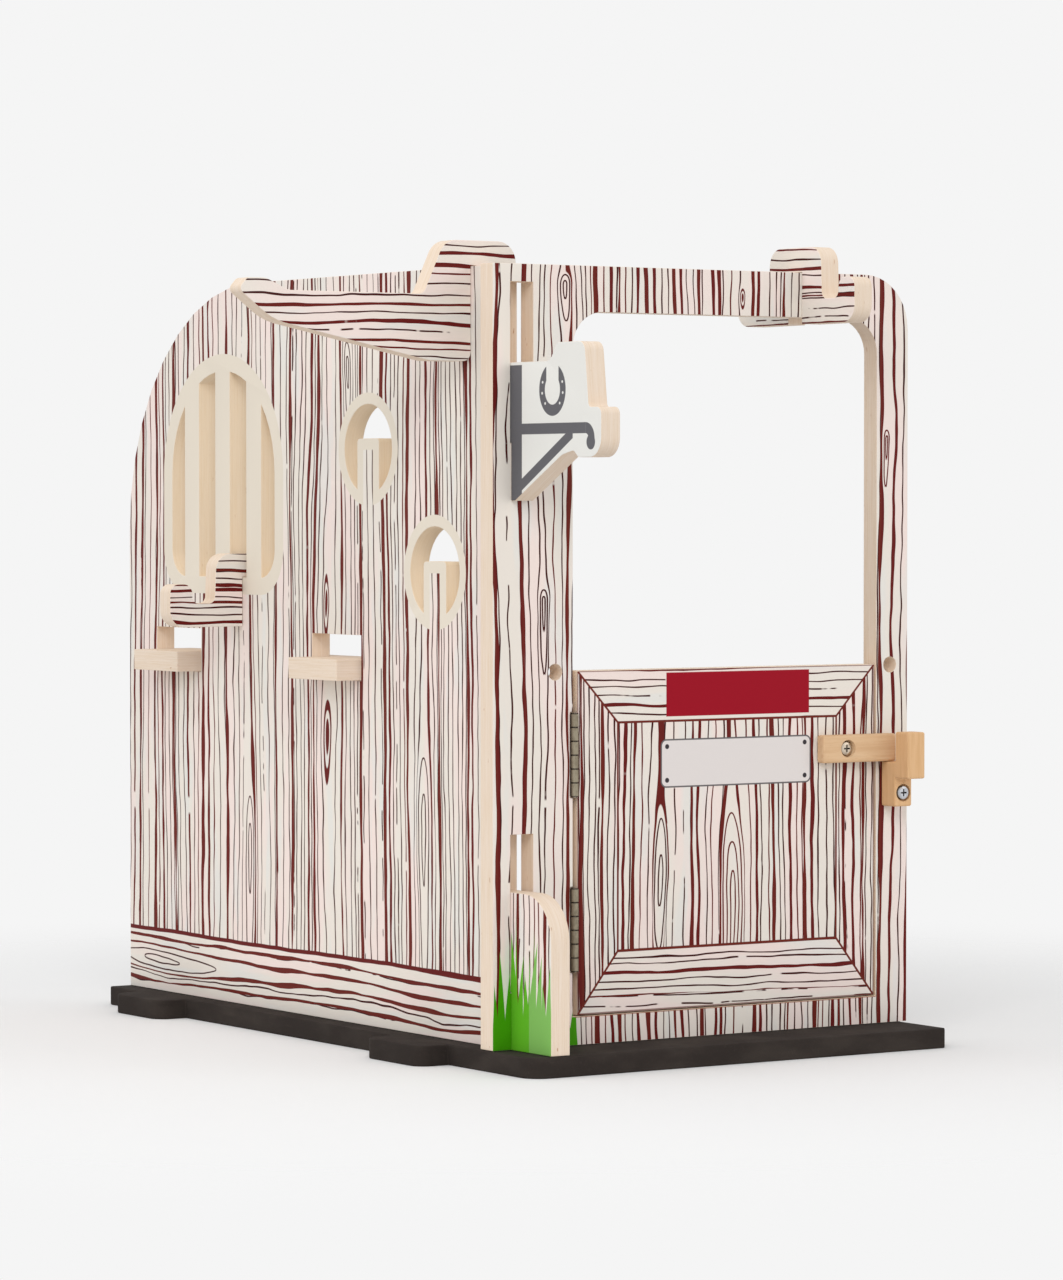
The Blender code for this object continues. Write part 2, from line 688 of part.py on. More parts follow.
def rug_rail_outline():
    """Return the rug rail's outline about its seat on the wall's top, as (x, z) points."""
    tip = -RUG_REACH - SLOT_HALF
    leg = -RUG_LEG_WIDTH - SLOT_HALF
    shoulder = -RUG_HUMP_HALF_WIDTH - RUG_HUMP_LEAN
    return rounded([
        (-SLOT_HALF, 0.0, 0.0),
        (-SLOT_HALF, -RUG_LEG_DROP, RUG_LEG_CORNER),
        (leg, -RUG_LEG_DROP, 20.0 * MM),
        (leg - RUG_TAPER_LENGTH, -RUG_UNDERSIDE_DROP, 40.0 * MM),
        (tip, -RUG_ARM_DROP, 4.0 * MM),
        (tip + 7.0 * MM, -RUG_TIP_DROP, 5.0 * MM),
        (tip + RUG_TIP_FLAT, -RUG_TIP_DROP, 12.0 * MM),
        (tip + RUG_TIP_LENGTH, -RUG_ARM_DROP, 14.0 * MM),
        (shoulder, -RUG_ARM_DROP, 6.0 * MM),
        (-RUG_HUMP_HALF_WIDTH, RUG_HUMP_RISE, RUG_HUMP_CORNER),
        (RUG_HUMP_HALF_WIDTH, RUG_HUMP_RISE, RUG_HUMP_CORNER),
        (RUG_HUMP_HALF_WIDTH, -RUG_INNER_DROP, 8.0 * MM),
        (SLOT_HALF, -RUG_INNER_DROP, 2.0 * MM),
        (SLOT_HALF, 0.0, 0.0),
    ])


def knuckle_spans(first):
    """Return the (low, high) heights of every second knuckle, starting with the first."""
    pitch = HINGE_HEIGHT / KNUCKLES
    spans = []
    for index in range(first, KNUCKLES, 2):
        low = index * pitch + (KNUCKLE_GAP / 2 if index > 0 else 0.0)
        high = (index + 1) * pitch - (KNUCKLE_GAP / 2 if index < KNUCKLES - 1 else 0.0)
        spans.append((low, high))
    return spans


def leaf_middle(side):
    """Return the X of a leaf's middle plane: side is -1 on the post, +1 on the door."""
    wood = LEFT_POST if side < 0 else DOOR_LEFT
    return wood - side * (SEAT_GAP + LEAF_THICKNESS / 2)


def leaf_root():
    """Return the Y where a leaf's plate begins, clear of the other leaf's knuckles."""
    return AXIS_Y + BARREL_RADIUS + SEAT_GAP


def leaf_outline(spans, offset):
    """Return a leaf as (y, z) points: a plate with a finger into each knuckle's wall."""
    root = leaf_root()
    wall = (BORE_RADIUS + BARREL_RADIUS) / 2
    finger = AXIS_Y + math.sqrt(max(wall ** 2 - offset ** 2, SEAT_GAP ** 2))
    outline = [Vector((root + LEAF_WIDTH, 0.0)), Vector((root + LEAF_WIDTH, HINGE_HEIGHT))]
    ends = [(root, HINGE_HEIGHT)]
    for low, high in reversed(spans):
        top = high - FINGER_INSET
        bottom = low + FINGER_INSET
        ends += [(root, top), (finger, top), (finger, bottom), (root, bottom)]
    ends.append((root, 0.0))
    for y, z in ends:
        point = Vector((y, z))
        if (point - outline[-1]).length > 1e-7:
            outline.append(point)
    return outline


def hinge_leaf(name, side, first, base, groups, parent, material):
    """Return one leaf of a hinge with its knuckles; side is -1 on the post, +1 on the door."""
    parts, tools = groups
    spans = knuckle_spans(first)
    middle = leaf_middle(side)
    leaf = plate(name, [leaf_outline(spans, middle - AXIS_X)], LEAF_THICKNESS, parts)
    bake(leaf, Matrix.Translation((0.0, 0.0, base)) @ facing_side(middle))
    for index, (low, high) in enumerate(spans):
        start = (AXIS_X, AXIS_Y, base + low)
        label = f"{name}_knuckle_{index + 1}"
        join(leaf, rod(label, start, "Z", high - low, BARREL_RADIUS, ROUND_SIDES, tools))
    bore_start = (AXIS_X, AXIS_Y, base - 2 * MM)
    bore_length = HINGE_HEIGHT + 4 * MM
    cut(leaf, rod(name + "_bore", bore_start, "Z", bore_length, BORE_RADIUS, SMALL_SIDES, tools))
    for index, height in enumerate(screw_heights(base)):
        start = (middle - 2 * MM, screw_depth(), height)
        label = f"{name}_hole_{index + 1}"
        radius = HINGE_HEAD_RADIUS + SEAT_GAP
        cut(leaf, rod(label, start, "X", 4 * MM, radius, SMALL_SIDES, tools))
    seat(leaf, (AXIS_X, AXIS_Y, base), parent, material)
    return leaf


def screw_heights(base):
    """Return the heights of a leaf's two screws."""
    middle = base + HINGE_HEIGHT / 2
    return (middle - HINGE_SCREW_SPREAD / 2, middle + HINGE_SCREW_SPREAD / 2)


def screw_depth():
    """Return the distance of the hinge screws behind the panel's front face."""
    return leaf_root() + LEAF_WIDTH - SCREW_MARGIN


def turned_screw(name, profile, sides, group):
    """Return a screw turned about Z from a profile that runs from its top to its point."""
    mesh = bpy.data.meshes.new(name)
    work = bmesh.new()
    previous = None
    for radius, height in profile:
        vertex = work.verts.new((radius, 0.0, height))
        if previous is not None:
            work.edges.new((previous, vertex))
        previous = vertex
    work.to_mesh(mesh)
    work.free()
    item = bpy.data.objects.new(name, mesh)
    group.objects.link(item)
    spin = item.modifiers.new("Turned", "SCREW")
    spin.steps = sides
    spin.render_steps = sides
    spin.use_merge_vertices = True
    spin.merge_threshold = 0.00001
    spin.use_smooth_shade = False
    bpy.context.view_layer.update()
    graph = bpy.context.evaluated_depsgraph_get()
    solid = bpy.data.meshes.new_from_object(item.evaluated_get(graph))
    bpy.data.objects.remove(item, do_unlink=True)
    made = bpy.data.objects.new(name, solid)
    group.objects.link(made)
    return made


def pan_screw(name, length, groups):
    """Return a pan-head screw along Z with its head's underside at zero."""
    parts, tools = groups
    profile = [
        (0.0, HEAD_HEIGHT),
        (HEAD_RADIUS - 2 * HEAD_EDGE, HEAD_HEIGHT),
        (HEAD_RADIUS - HEAD_EDGE * 0.6, HEAD_HEIGHT - HEAD_EDGE * 0.5),
        (HEAD_RADIUS, HEAD_HEIGHT - HEAD_EDGE * 1.5),
        (HEAD_RADIUS, 0.0),
        (SHANK_RADIUS, 0.0),
        (SHANK_RADIUS, -length + SHANK_RADIUS),
        (0.0, -length),
    ]
    screw = turned_screw(name, profile, ROUND_SIDES, parts)
    for label, along_x, along_y in (("a", 1.0, 0.0), ("b", 0.0, 1.0)):
        half_x = (CROSS_LENGTH * along_x + CROSS_WIDTH * along_y) / 2
        half_y = (CROSS_LENGTH * along_y + CROSS_WIDTH * along_x) / 2
        low = (-half_x, -half_y, HEAD_HEIGHT - CROSS_DEPTH)
        high = (half_x, half_y, HEAD_HEIGHT + 2 * MM)
        cut(screw, box(f"{name}_cross_{label}", low, high, tools))
    return screw


def small_screw_mesh(group):
    """Return the mesh shared by the hinge screws, along Z with its head's face at zero."""
    profile = [
        (0.0, 0.0),
        (HINGE_HEAD_RADIUS * 0.86, 0.0),
        (HINGE_HEAD_RADIUS, -HINGE_HEAD_THICKNESS * 0.35),
        (HINGE_HEAD_RADIUS, -HINGE_HEAD_THICKNESS),
        (HINGE_SCREW_RADIUS, -HINGE_HEAD_THICKNESS),
        (HINGE_SCREW_RADIUS, -HINGE_SCREW_LENGTH + HINGE_SCREW_RADIUS),
        (0.0, -HINGE_SCREW_LENGTH),
    ]
    sample = turned_screw("hinge_screw", profile, SMALL_SIDES, group)
    mesh = sample.data
    bpy.data.objects.remove(sample, do_unlink=True)
    mesh.shade_smooth()
    mesh.set_sharp_from_angle(angle=math.radians(35.0))
    return mesh


def build_mat(groups, frame, materials):
    """Make the foam mat under everything."""
    mat = plate("foam_mat", [mat_outline()], MAT_THICKNESS, groups[0])
    bake(mat, Matrix.Translation((0.0, 0.0, -SEAT_GAP - MAT_THICKNESS / 2)))
    seat(mat, (0.0, 0.0, -SEAT_GAP), frame, materials["foam"])


def build_front_panel(groups, frame, materials):
    """Make the front panel with its doorway, slots and screw holes."""
    parts, tools = groups
    panel = plate("front_panel", panel_outlines(), PLY, parts)
    bake(panel, facing_front(PLY / 2))
    bore = SHANK_RADIUS + SEAT_GAP
    start = (KEEPER_SCREW_X, -2 * MM, KEEPER_SCREW_Z)
    length = SCREW_BITE + 4 * MM
    cut(panel, rod("keeper_bore", start, "Y", length, bore, SMALL_SIDES, tools))
    for hinge, base in hinge_bases():
        start = (AXIS_X, AXIS_Y, base - PIN_OVERRUN - SEAT_GAP)
        length = HINGE_HEIGHT + 2 * (PIN_OVERRUN + SEAT_GAP)
        radius = BARREL_RADIUS + SEAT_GAP
        cut(panel, rod(hinge + "_barrel_notch", start, "Z", length, radius, ROUND_SIDES, tools))
        for index, height in enumerate(screw_heights(base)):
            start = (LEFT_POST + 2 * MM, screw_depth(), height)
            length = -(HINGE_SCREW_LENGTH + 4 * MM)
            label = f"{hinge}_post_bore_{index + 1}"
            radius = HINGE_SCREW_RADIUS + SEAT_GAP
            cut(panel, rod(label, start, "X", length, radius, SMALL_SIDES, tools))
    seat(panel, (0.0, 0.0, 0.0), frame, materials["printed_ply"])


def build_side_wall(groups, frame, materials):
    """Make the side wall with its hooks, window and holes."""
    outlines = [wall_outer(), *window_gaps()]
    outlines.append(hang_hole(HIGH_HOLE_DEPTH, HIGH_HOLE_HEIGHT))
    outlines.append(hang_hole(LOW_HOLE_DEPTH, LOW_HOLE_HEIGHT))
    outlines += ledge_holes()
    wall = plate("side_wall", outlines, PLY, groups[0])
    bake(wall, facing_side(WALL_MIDDLE))
    seat(wall, (WALL_OUTER, 0.0, 0.0), frame, materials["printed_wall"])


def build_ledge(groups, frame, materials):
    """Make the ledge that lies inside the wall."""
    ledge = plate("wall_ledge", [ledge_outline()], PLY, groups[0])
    bottom = LEDGE_HEIGHT + SEAT_GAP
    bake(ledge, Matrix.Translation((0.0, 0.0, bottom + PLY / 2)))
    seat(ledge, (WALL_OUTER, FRONT_LEDGE_TAB, bottom), frame, materials["bare_ply"])


def hinge_bases():
    """Return each hinge's name and the height of its lower end."""
    return (("lower_hinge", LOW_HINGE_HEIGHT), ("upper_hinge", HIGH_HINGE_HEIGHT))


def build_door(groups, door_axis, materials):
    """Make the half-door with its screw holes."""
    parts, tools = groups
    door = box("half_door", (DOOR_LEFT, 0.0, DOOR_BOTTOM), (DOOR_RIGHT, PLY, DOOR_TOP), parts)
    start = (PIVOT_X, -2 * MM, PIVOT_Z)
    length = SCREW_BITE + 4 * MM
    bore = SHANK_RADIUS + SEAT_GAP
    cut(door, rod("latch_bore", start, "Y", length, bore, SMALL_SIDES, tools))
    for hinge, base in hinge_bases():
        for index, height in enumerate(screw_heights(base)):
            start = (DOOR_LEFT - 2 * MM, screw_depth(), height)
            length = HINGE_SCREW_LENGTH + 4 * MM
            label = f"{hinge}_door_bore_{index + 1}"
            radius = HINGE_SCREW_RADIUS + SEAT_GAP
            cut(door, rod(label, start, "X", length, radius, SMALL_SIDES, tools))
    seat(door, (AXIS_X, AXIS_Y, 0.0), door_axis, materials["printed_door"])


def build_hinges(groups, frame, door_axis, materials):
    """Make both hinges: leaves, pins and screws."""
    parts = groups[0]
    mesh = small_screw_mesh(parts)
    mesh.materials.clear()
    mesh.materials.append(materials["screw_steel"])
    steel = materials["hinge_steel"]
    for hinge, base in hinge_bases():
        hinge_leaf(hinge + "_post_leaf", -1, 0, base, groups, frame, steel)
        hinge_leaf(hinge + "_door_leaf", 1, 1, base, groups, door_axis, steel)
        start = (AXIS_X, AXIS_Y, base - PIN_OVERRUN)
        length = HINGE_HEIGHT + 2 * PIN_OVERRUN
        pin = rod(hinge + "_pin", start, "Z", length, PIN_RADIUS, SMALL_SIDES, parts)
        smooth(pin)
        seat(pin, start, frame, materials["pin_steel"])
        for side, word, parent in ((-1, "post", frame), (1, "door", door_axis)):
            face = leaf_middle(side) - side * (LEAF_THICKNESS - HEAD_SINK) / 2
            for index, height in enumerate(screw_heights(base)):
                name = f"{hinge}_{word}_screw_{index + 1}"
                screw = bpy.data.objects.new(name, mesh)
                parts.objects.link(screw)
                screw.parent = parent
                place = Vector((face, screw_depth(), height))
                screw.location = place - base_of(parent)
                screw.rotation_euler = (0.0, -side * math.pi / 2, 0.0)


def build_latch(groups, frame, door_axis, materials):
    """Make the latch bar with its screw, and the keeper with its screw."""
    parts, tools = groups
    front = -SEAT_GAP - LATCH_THICKNESS
    low = (LATCH_LEFT, front, LATCH_BOTTOM)
    high = (LATCH_RIGHT, -SEAT_GAP, LATCH_BOTTOM + LATCH_HEIGHT)
    bar = box("latch_bar", low, high, parts)
    soften(bar, LATCH_EDGE)
    floor = front + LATCH_RECESS_DEPTH
    start = (PIVOT_X, floor, PIVOT_Z)
    depth = -LATCH_RECESS_DEPTH - 2 * MM
    cut(bar, rod("latch_recess", start, "Y", depth, RECESS_RADIUS, ROUND_SIDES, tools))
    start = (PIVOT_X, front - 2 * MM, PIVOT_Z)
    bore = SHANK_RADIUS + SEAT_GAP
    length = LATCH_THICKNESS + 4 * MM
    cut(bar, rod("latch_bar_bore", start, "Y", length, bore, SMALL_SIDES, tools))
    seat(bar, (PIVOT_X, 0.0, PIVOT_Z), door_axis, materials["beech"])
    under_head = floor - SEAT_GAP
    screw = pan_screw("latch_screw", SCREW_BITE - under_head, groups)
    place_screw(screw, (PIVOT_X, under_head, PIVOT_Z), door_axis, materials["bright_screw"])

    keeper_front = -SEAT_GAP - KEEPER_DEPTH
    ear_front = keeper_front - EAR_DEPTH
    profile = rounded([
        (-SEAT_GAP, KEEPER_FOOT, 0.0),
        (-SEAT_GAP, KEEPER_SEAT, 0.0),
        (keeper_front, KEEPER_SEAT, 0.0),
        (keeper_front, EAR_TOP, 0.0),
        (ear_front, EAR_TOP, 0.0),
        (ear_front, EAR_FOOT, 0.0),
        (keeper_front, EAR_FOOT, 0.0),
        (keeper_front, KEEPER_FOOT, 0.0),
    ])
    keeper = plate("latch_keeper", [profile], KEEPER_WIDTH, parts)
    bake(keeper, facing_side((KEEPER_LEFT + KEEPER_RIGHT) / 2))
    soften(keeper, KEEPER_EDGE)
    floor = keeper_front + KEEPER_RECESS_DEPTH
    start = (KEEPER_SCREW_X, floor, KEEPER_SCREW_Z)
    depth = -KEEPER_RECESS_DEPTH - 2 * MM
    cut(keeper, rod("keeper_recess", start, "Y", depth, RECESS_RADIUS, ROUND_SIDES, tools))
    start = (KEEPER_SCREW_X, keeper_front - 2 * MM, KEEPER_SCREW_Z)
    length = KEEPER_DEPTH + 4 * MM
    cut(keeper, rod("keeper_through", start, "Y", length, bore, SMALL_SIDES, tools))
    seat(keeper, (KEEPER_SCREW_X, 0.0, KEEPER_SCREW_Z), frame, materials["beech"])
    under_head = floor - SEAT_GAP
    screw = pan_screw("keeper_screw", SCREW_BITE - under_head, groups)
    place = (KEEPER_SCREW_X, under_head, KEEPER_SCREW_Z)
    place_screw(screw, place, frame, materials["bright_screw"])


def place_screw(screw, place, parent, material):
    """Turn a screw's head to the front and set it at its place."""
    for change in screw.modifiers:
        change.object.parent = screw
    screw.parent = parent
    screw.location = Vector(place) - base_of(parent)
    screw.rotation_euler = (math.pi / 2, 0.0, 0.0)
    screw.data.materials.clear()
    screw.data.materials.append(material)
    smooth(screw)


def build_lift_off_pieces(groups, frame, materials):
    """Make the rug rail and both double bridle hooks."""
    parts = groups[0]
    rail = plate("rug_rail", [rug_rail_outline()], PLY, parts)
    bake(rail, facing_front(RUG_SETBACK + PLY / 2))
    rail.data.transform(Matrix.Translation((WALL_MIDDLE, 0.0, WALL_TOP_SEAT)))
    seat(rail, (WALL_MIDDLE, RUG_SETBACK + PLY / 2, WALL_TOP_SEAT), frame, materials["rail_ply"])

    hook = plate("front_bridle_hook", [double_hook_outline()], PLY, parts)
    across = RAIL_HOOK_OFFSET + PLY / 2
    bake(hook, facing_side(across))
    hook.data.transform(Matrix.Translation((0.0, PLY / 2, WALL_TOP_SEAT)))
    seat(hook, (across, PLY / 2, WALL_TOP_SEAT), frame, materials["hook_ply"])

    hook = plate("window_bridle_hook", [double_hook_outline()], PLY, parts)
    bar_edge = WINDOW_CENTRE - BAR_WIDTH / 2
    depth = bar_edge - WINDOW_HOOK_BAR_GAP - PLY / 2
    sill = WINDOW_SILL + SEAT_GAP
    bake(hook, facing_front(depth))
    hook.data.transform(Matrix.Translation((WALL_MIDDLE, 0.0, sill)))
    seat(hook, (WALL_MIDDLE, depth, sill), frame, materials["hook_ply"])


def make_materials():
    """Return the named materials of the pieces."""
    return {
        "foam": new_material("black_foam", (0.035, 0.032, 0.030), 0.85),
        "printed_ply": new_material("printed_front", (0.74, 0.67, 0.62), 0.5),
        "printed_wall": new_material("printed_side", (0.72, 0.65, 0.61), 0.5),
        "printed_door": new_material("printed_door", (0.76, 0.69, 0.64), 0.5),
        "bare_ply": new_material("bare_plywood", (0.78, 0.66, 0.48), 0.55),
        "rail_ply": new_material("printed_rail", (0.70, 0.62, 0.57), 0.5),
        "hook_ply": new_material("printed_hook", (0.73, 0.66, 0.60), 0.5),
        "beech": new_material("beech", (0.65, 0.42, 0.24), 0.45),
        "hinge_steel": new_material("aged_steel", (0.16, 0.13, 0.11), 0.45, 0.9),
        "pin_steel": new_material("pin_steel", (0.30, 0.28, 0.26), 0.35, 1.0),
        "screw_steel": new_material("small_screw_steel", (0.22, 0.19, 0.16), 0.4, 0.9),
        "bright_screw": new_material("zinc_steel", (0.62, 0.60, 0.56), 0.3, 1.0),
    }


def main():
    """Build the whole stable."""
    clear_scene()
    parts = new_collection("toy_stable")
    tools = new_collection("cutters")
    groups = (parts, tools)
    materials = make_materials()
    frame = new_empty("stable_frame", PANEL_ORIGIN, None, parts)
    door_axis = new_empty("door_axis", (AXIS_X, AXIS_Y, 0.0), frame, parts)
    build_mat(groups, frame, materials)
    build_front_panel(groups, frame, materials)
    build_side_wall(groups, frame, materials)
    build_ledge(groups, frame, materials)
    build_door(groups, door_axis, materials)
    build_hinges(groups, frame, door_axis, materials)
    build_latch(groups, frame, door_axis, materials)
    build_lift_off_pieces(groups, frame, materials)


if __name__ == "__main__":
    main()
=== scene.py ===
"""Dresses the toy stable: printed plywood, bare plywood edges, foam, beech and steel.

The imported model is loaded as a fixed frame. The plywood pieces and the mat are modelled
again with their edges eased, the latch bar with its ends a little longer, and every other
node keeps its shape. Finishes are procedural and are drawn in the front panel's own
millimetres, so that each printed band, border and blade of grass stays on the wood it
belongs to when a piece moves.
"""

import logging
import math
from dataclasses import dataclass, field
from enum import Enum
from typing import Any, Union

import bpy
from mathutils import Matrix, Vector


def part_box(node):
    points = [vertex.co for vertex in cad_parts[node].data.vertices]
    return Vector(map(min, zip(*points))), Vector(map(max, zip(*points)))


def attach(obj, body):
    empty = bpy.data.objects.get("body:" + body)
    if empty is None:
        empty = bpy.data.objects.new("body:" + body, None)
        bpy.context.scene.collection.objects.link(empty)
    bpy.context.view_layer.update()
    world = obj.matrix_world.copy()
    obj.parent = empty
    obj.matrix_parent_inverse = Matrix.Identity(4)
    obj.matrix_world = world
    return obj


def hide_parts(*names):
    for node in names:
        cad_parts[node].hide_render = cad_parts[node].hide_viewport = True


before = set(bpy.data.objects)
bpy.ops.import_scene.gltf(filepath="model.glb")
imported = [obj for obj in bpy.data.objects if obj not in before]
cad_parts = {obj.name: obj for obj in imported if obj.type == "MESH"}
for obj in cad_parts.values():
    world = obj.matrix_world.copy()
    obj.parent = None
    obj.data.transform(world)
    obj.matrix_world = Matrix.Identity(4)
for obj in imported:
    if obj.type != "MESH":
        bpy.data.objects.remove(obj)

LOG = logging.getLogger("toy_stable")
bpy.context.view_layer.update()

# The front panel's lower left front corner, in the model's metres
PANEL_CORNER = Vector((-0.17125, -0.2405, 0.0143))
MM = 0.001

# How straight a face looks along an axis when it counts as the sheet's own face
STRAIGHT = 0.9

# Bare plywood's roughness, how much smoother print makes it, and their plain reflection
PLY_ROUGHNESS = 0.6
PRINT_SMOOTHING = 0.06
PLY_GLOSS = 0.12

Number = Union[float, "Value"]
Colour = tuple[float, float, float]


def srgb(red: int, green: int, blue: int) -> Colour:
    """Turn an 8-bit display colour into the linear one that a shader takes.

    Args:
        red: Red, 0 to 255.
        green: Green, 0 to 255.
        blue: Blue, 0 to 255.

    Returns:
        The linear colour.
    """
    def channel(value: int) -> float:
        """Linearise one channel."""
        share = value / 255
        return share / 12.92 if share <= 0.04045 else ((share + 0.055) / 1.055) ** 2.4

    return channel(red), channel(green), channel(blue)


class Facing(Enum):
    """The axis that a sheet's printed faces look along."""

    ACROSS = "x"
    DEPTH = "y"
    UP = "z"

    @property
    def index(self) -> int:
        """The axis's number, 0 to 2."""
        return "xyz".index(self.value)


@dataclass(frozen=True)
class Value:
    """A number that varies over a surface: one socket of a finish's node tree."""

    sheet: "Sheet"
    socket: bpy.types.NodeSocket

    def __add__(self, other: Number) -> "Value":
        """Add."""
        return self.sheet.maths("ADD", self, other)

    def __radd__(self, other: float) -> "Value":
        """Add to a plain number."""
        return self.sheet.maths("ADD", other, self)

    def __sub__(self, other: Number) -> "Value":
        """Subtract."""
        return self.sheet.maths("SUBTRACT", self, other)

    def __rsub__(self, other: float) -> "Value":
        """Subtract from a plain number."""
        return self.sheet.maths("SUBTRACT", other, self)

    def __mul__(self, other: Number) -> "Value":
        """Multiply."""
        return self.sheet.maths("MULTIPLY", self, other)

    def __rmul__(self, other: float) -> "Value":
        """Multiply a plain number."""
        return self.sheet.maths("MULTIPLY", other, self)

    def __truediv__(self, other: Number) -> "Value":
        """Divide."""
        return self.sheet.maths("DIVIDE", self, other)

    def __rtruediv__(self, other: float) -> "Value":
        """Divide a plain number."""
        return self.sheet.maths("DIVIDE", other, self)

    def __abs__(self) -> "Value":
        """Drop the sign."""
        return self.sheet.maths("ABSOLUTE", self)

    def __gt__(self, other: Number) -> "Value":
        """Give 1 where this is the greater, else 0."""
        return self.sheet.maths("GREATER_THAN", self, other)

    def __lt__(self, other: Number) -> "Value":
        """Give 1 where this is the less, else 0."""
        return self.sheet.maths("LESS_THAN", self, other)

    def least(self, other: Number) -> "Value":
        """Take the smaller of two values."""
        return self.sheet.maths("MINIMUM", self, other)

    def most(self, other: Number) -> "Value":
        """Take the larger of two values."""
        return self.sheet.maths("MAXIMUM", self, other)

    def root(self) -> "Value":
        """Take the square root."""
        return self.sheet.maths("SQRT", self)

    def floor(self) -> "Value":
        """Round down."""
        return self.sheet.maths("FLOOR", self)

    def span(self, other: "Value") -> "Value":
        """Take the diagonal over this and another value."""
        return (self * self + other * other).root()


class Sheet:
    """The node tree of one finish, written as expressions."""

    def __init__(self, name: str) -> None:
        """Start an empty material.

        Args:
            name: The material's name.
        """
        self.material = bpy.data.materials.new(name)
        self.material.use_nodes = True
        self.tree = self.material.node_tree
        self.tree.nodes.clear()

    def node(self, kind: str, settings: dict[str, Any] | None = None,
             inputs: dict[Any, Any] | None = None) -> bpy.types.Node:
        """Add a node.

        Args:
            kind: The node's type, such as ShaderNodeMath.
            settings: Its own settings, set before its sockets.
            inputs: Values or links of its sockets, by name or by number.

        Returns:
            The node.
        """
        made = self.tree.nodes.new(kind)
        for key, setting in (settings or {}).items():
            setattr(made, key, setting)
        for key, given in (inputs or {}).items():
            target = made.inputs[key]
            if isinstance(given, Value):
                self.tree.links.new(given.socket, target)
            elif isinstance(given, bpy.types.NodeSocket):
                self.tree.links.new(given, target)
            elif isinstance(given, tuple) and target.type == "RGBA":
                target.default_value = (*given, 1.0)
            else:
                target.default_value = given
        return made

    def maths(self, operation: str, *values: Number) -> Value:
        """Work out one step on numbers.

        Args:
            operation: The Math node's operation.
            values: What it works on.

        Returns:
            The result.
        """
        made = self.node("ShaderNodeMath", {"operation": operation}, dict(enumerate(values)))
        return Value(self, made.outputs[0])

    def step(self, value: Number, low: float, high: float) -> Value:
        """Rise smoothly from 0 at low to 1 at high.

        Args:
            value: What is measured.
            low: Where the rise starts.
            high: Where it ends.

        Returns:
            The share.
        """
        inputs = {0: value, 1: low, 2: high, 3: 0.0, 4: 1.0}
        made = self.node("ShaderNodeMapRange", {"interpolation_type": "SMOOTHSTEP"}, inputs)
        return Value(self, made.outputs[0])

    def within(self, distance: Number, reach: Number = 0.0, soft: float = 0.2) -> Value:
        """Give 1 where a distance is under a reach, with a soft edge.

        Args:
            distance: The distance in millimetres.
            reach: The reach in millimetres.
            soft: Half the width of the soft edge.

        Returns:
            The mask.
        """
        return self.step(distance - reach, soft, -soft)

    def noise(self, place: tuple[Number, ...], detail: float = 2.0,
              rough: float = 0.5) -> Value:
        """Give smooth noise around 0.5.

        Args:
            place: Two or three coordinates, in cells of the noise.
            detail: How many finer layers there are.
            rough: How strong the finer layers are.

        Returns:
            The noise.
        """
        dimensions = "2D" if len(place) == 2 else "3D"
        made = self.node("ShaderNodeTexNoise", {"noise_dimensions": dimensions}, {
            "Vector": self.vector(place),
            "Scale": 1.0,
            "Detail": detail,
            "Roughness": rough,
        })
        return Value(self, made.outputs[0])

    def chance(self, cell: Number) -> Value:
        """Give one even random number for each value of a cell's number."""
        made = self.node("ShaderNodeTexWhiteNoise", {"noise_dimensions": "1D"}, {"W": cell})
        return Value(self, made.outputs[0])

    def cells(self, place: Number, feature: str) -> bpy.types.Node:
        """Split a line into cells of uneven length.

        Args:
            place: Where the point is, in mean cell lengths.
            feature: F1 for each cell's own colour, DISTANCE_TO_EDGE for the way to its end.

        Returns:
            The Voronoi node.
        """
        settings = {"voronoi_dimensions": "1D", "feature": feature}
        return self.node("ShaderNodeTexVoronoi", settings, {"W": place, "Scale": 1.0})

    def vector(self, place: tuple[Number, ...]) -> bpy.types.NodeSocket:
        """Join coordinates to a vector."""
        return self.node("ShaderNodeCombineXYZ", {}, dict(enumerate(place))).outputs[0]

    def blend(self, share: Number, first: Any, second: Any) -> bpy.types.NodeSocket:
        """Mix two colours.

        Args:
            share: 0 for the first colour, 1 for the second.
            first: A colour or a colour socket.
            second: A colour or a colour socket.

        Returns:
            The mixed colour.
        """
        settings = {"data_type": "RGBA", "clamp_factor": True}
        made = self.node("ShaderNodeMix", settings, {0: share, 6: first, 7: second})
        return made.outputs[2]

    def point(self) -> tuple[Value, Value, Value]:
        """Give the point's place in the front panel's own millimetres."""
        place = self.node("ShaderNodeTexCoord").outputs["Object"]
        split = self.node("ShaderNodeSeparateXYZ", {}, {0: place})
        return tuple(
            (Value(self, split.outputs[axis]) - PANEL_CORNER[axis]) / MM for axis in range(3)
        )

    def facing(self, facing: Facing) -> Value:
        """Give 1 on the flat faces that look along an axis, else 0."""
        normal = self.node("ShaderNodeTexCoord").outputs["Normal"]
        split = self.node("ShaderNodeSeparateXYZ", {}, {0: normal})
        axis = facing.index
        return abs(Value(self, split.outputs[axis])) > STRAIGHT

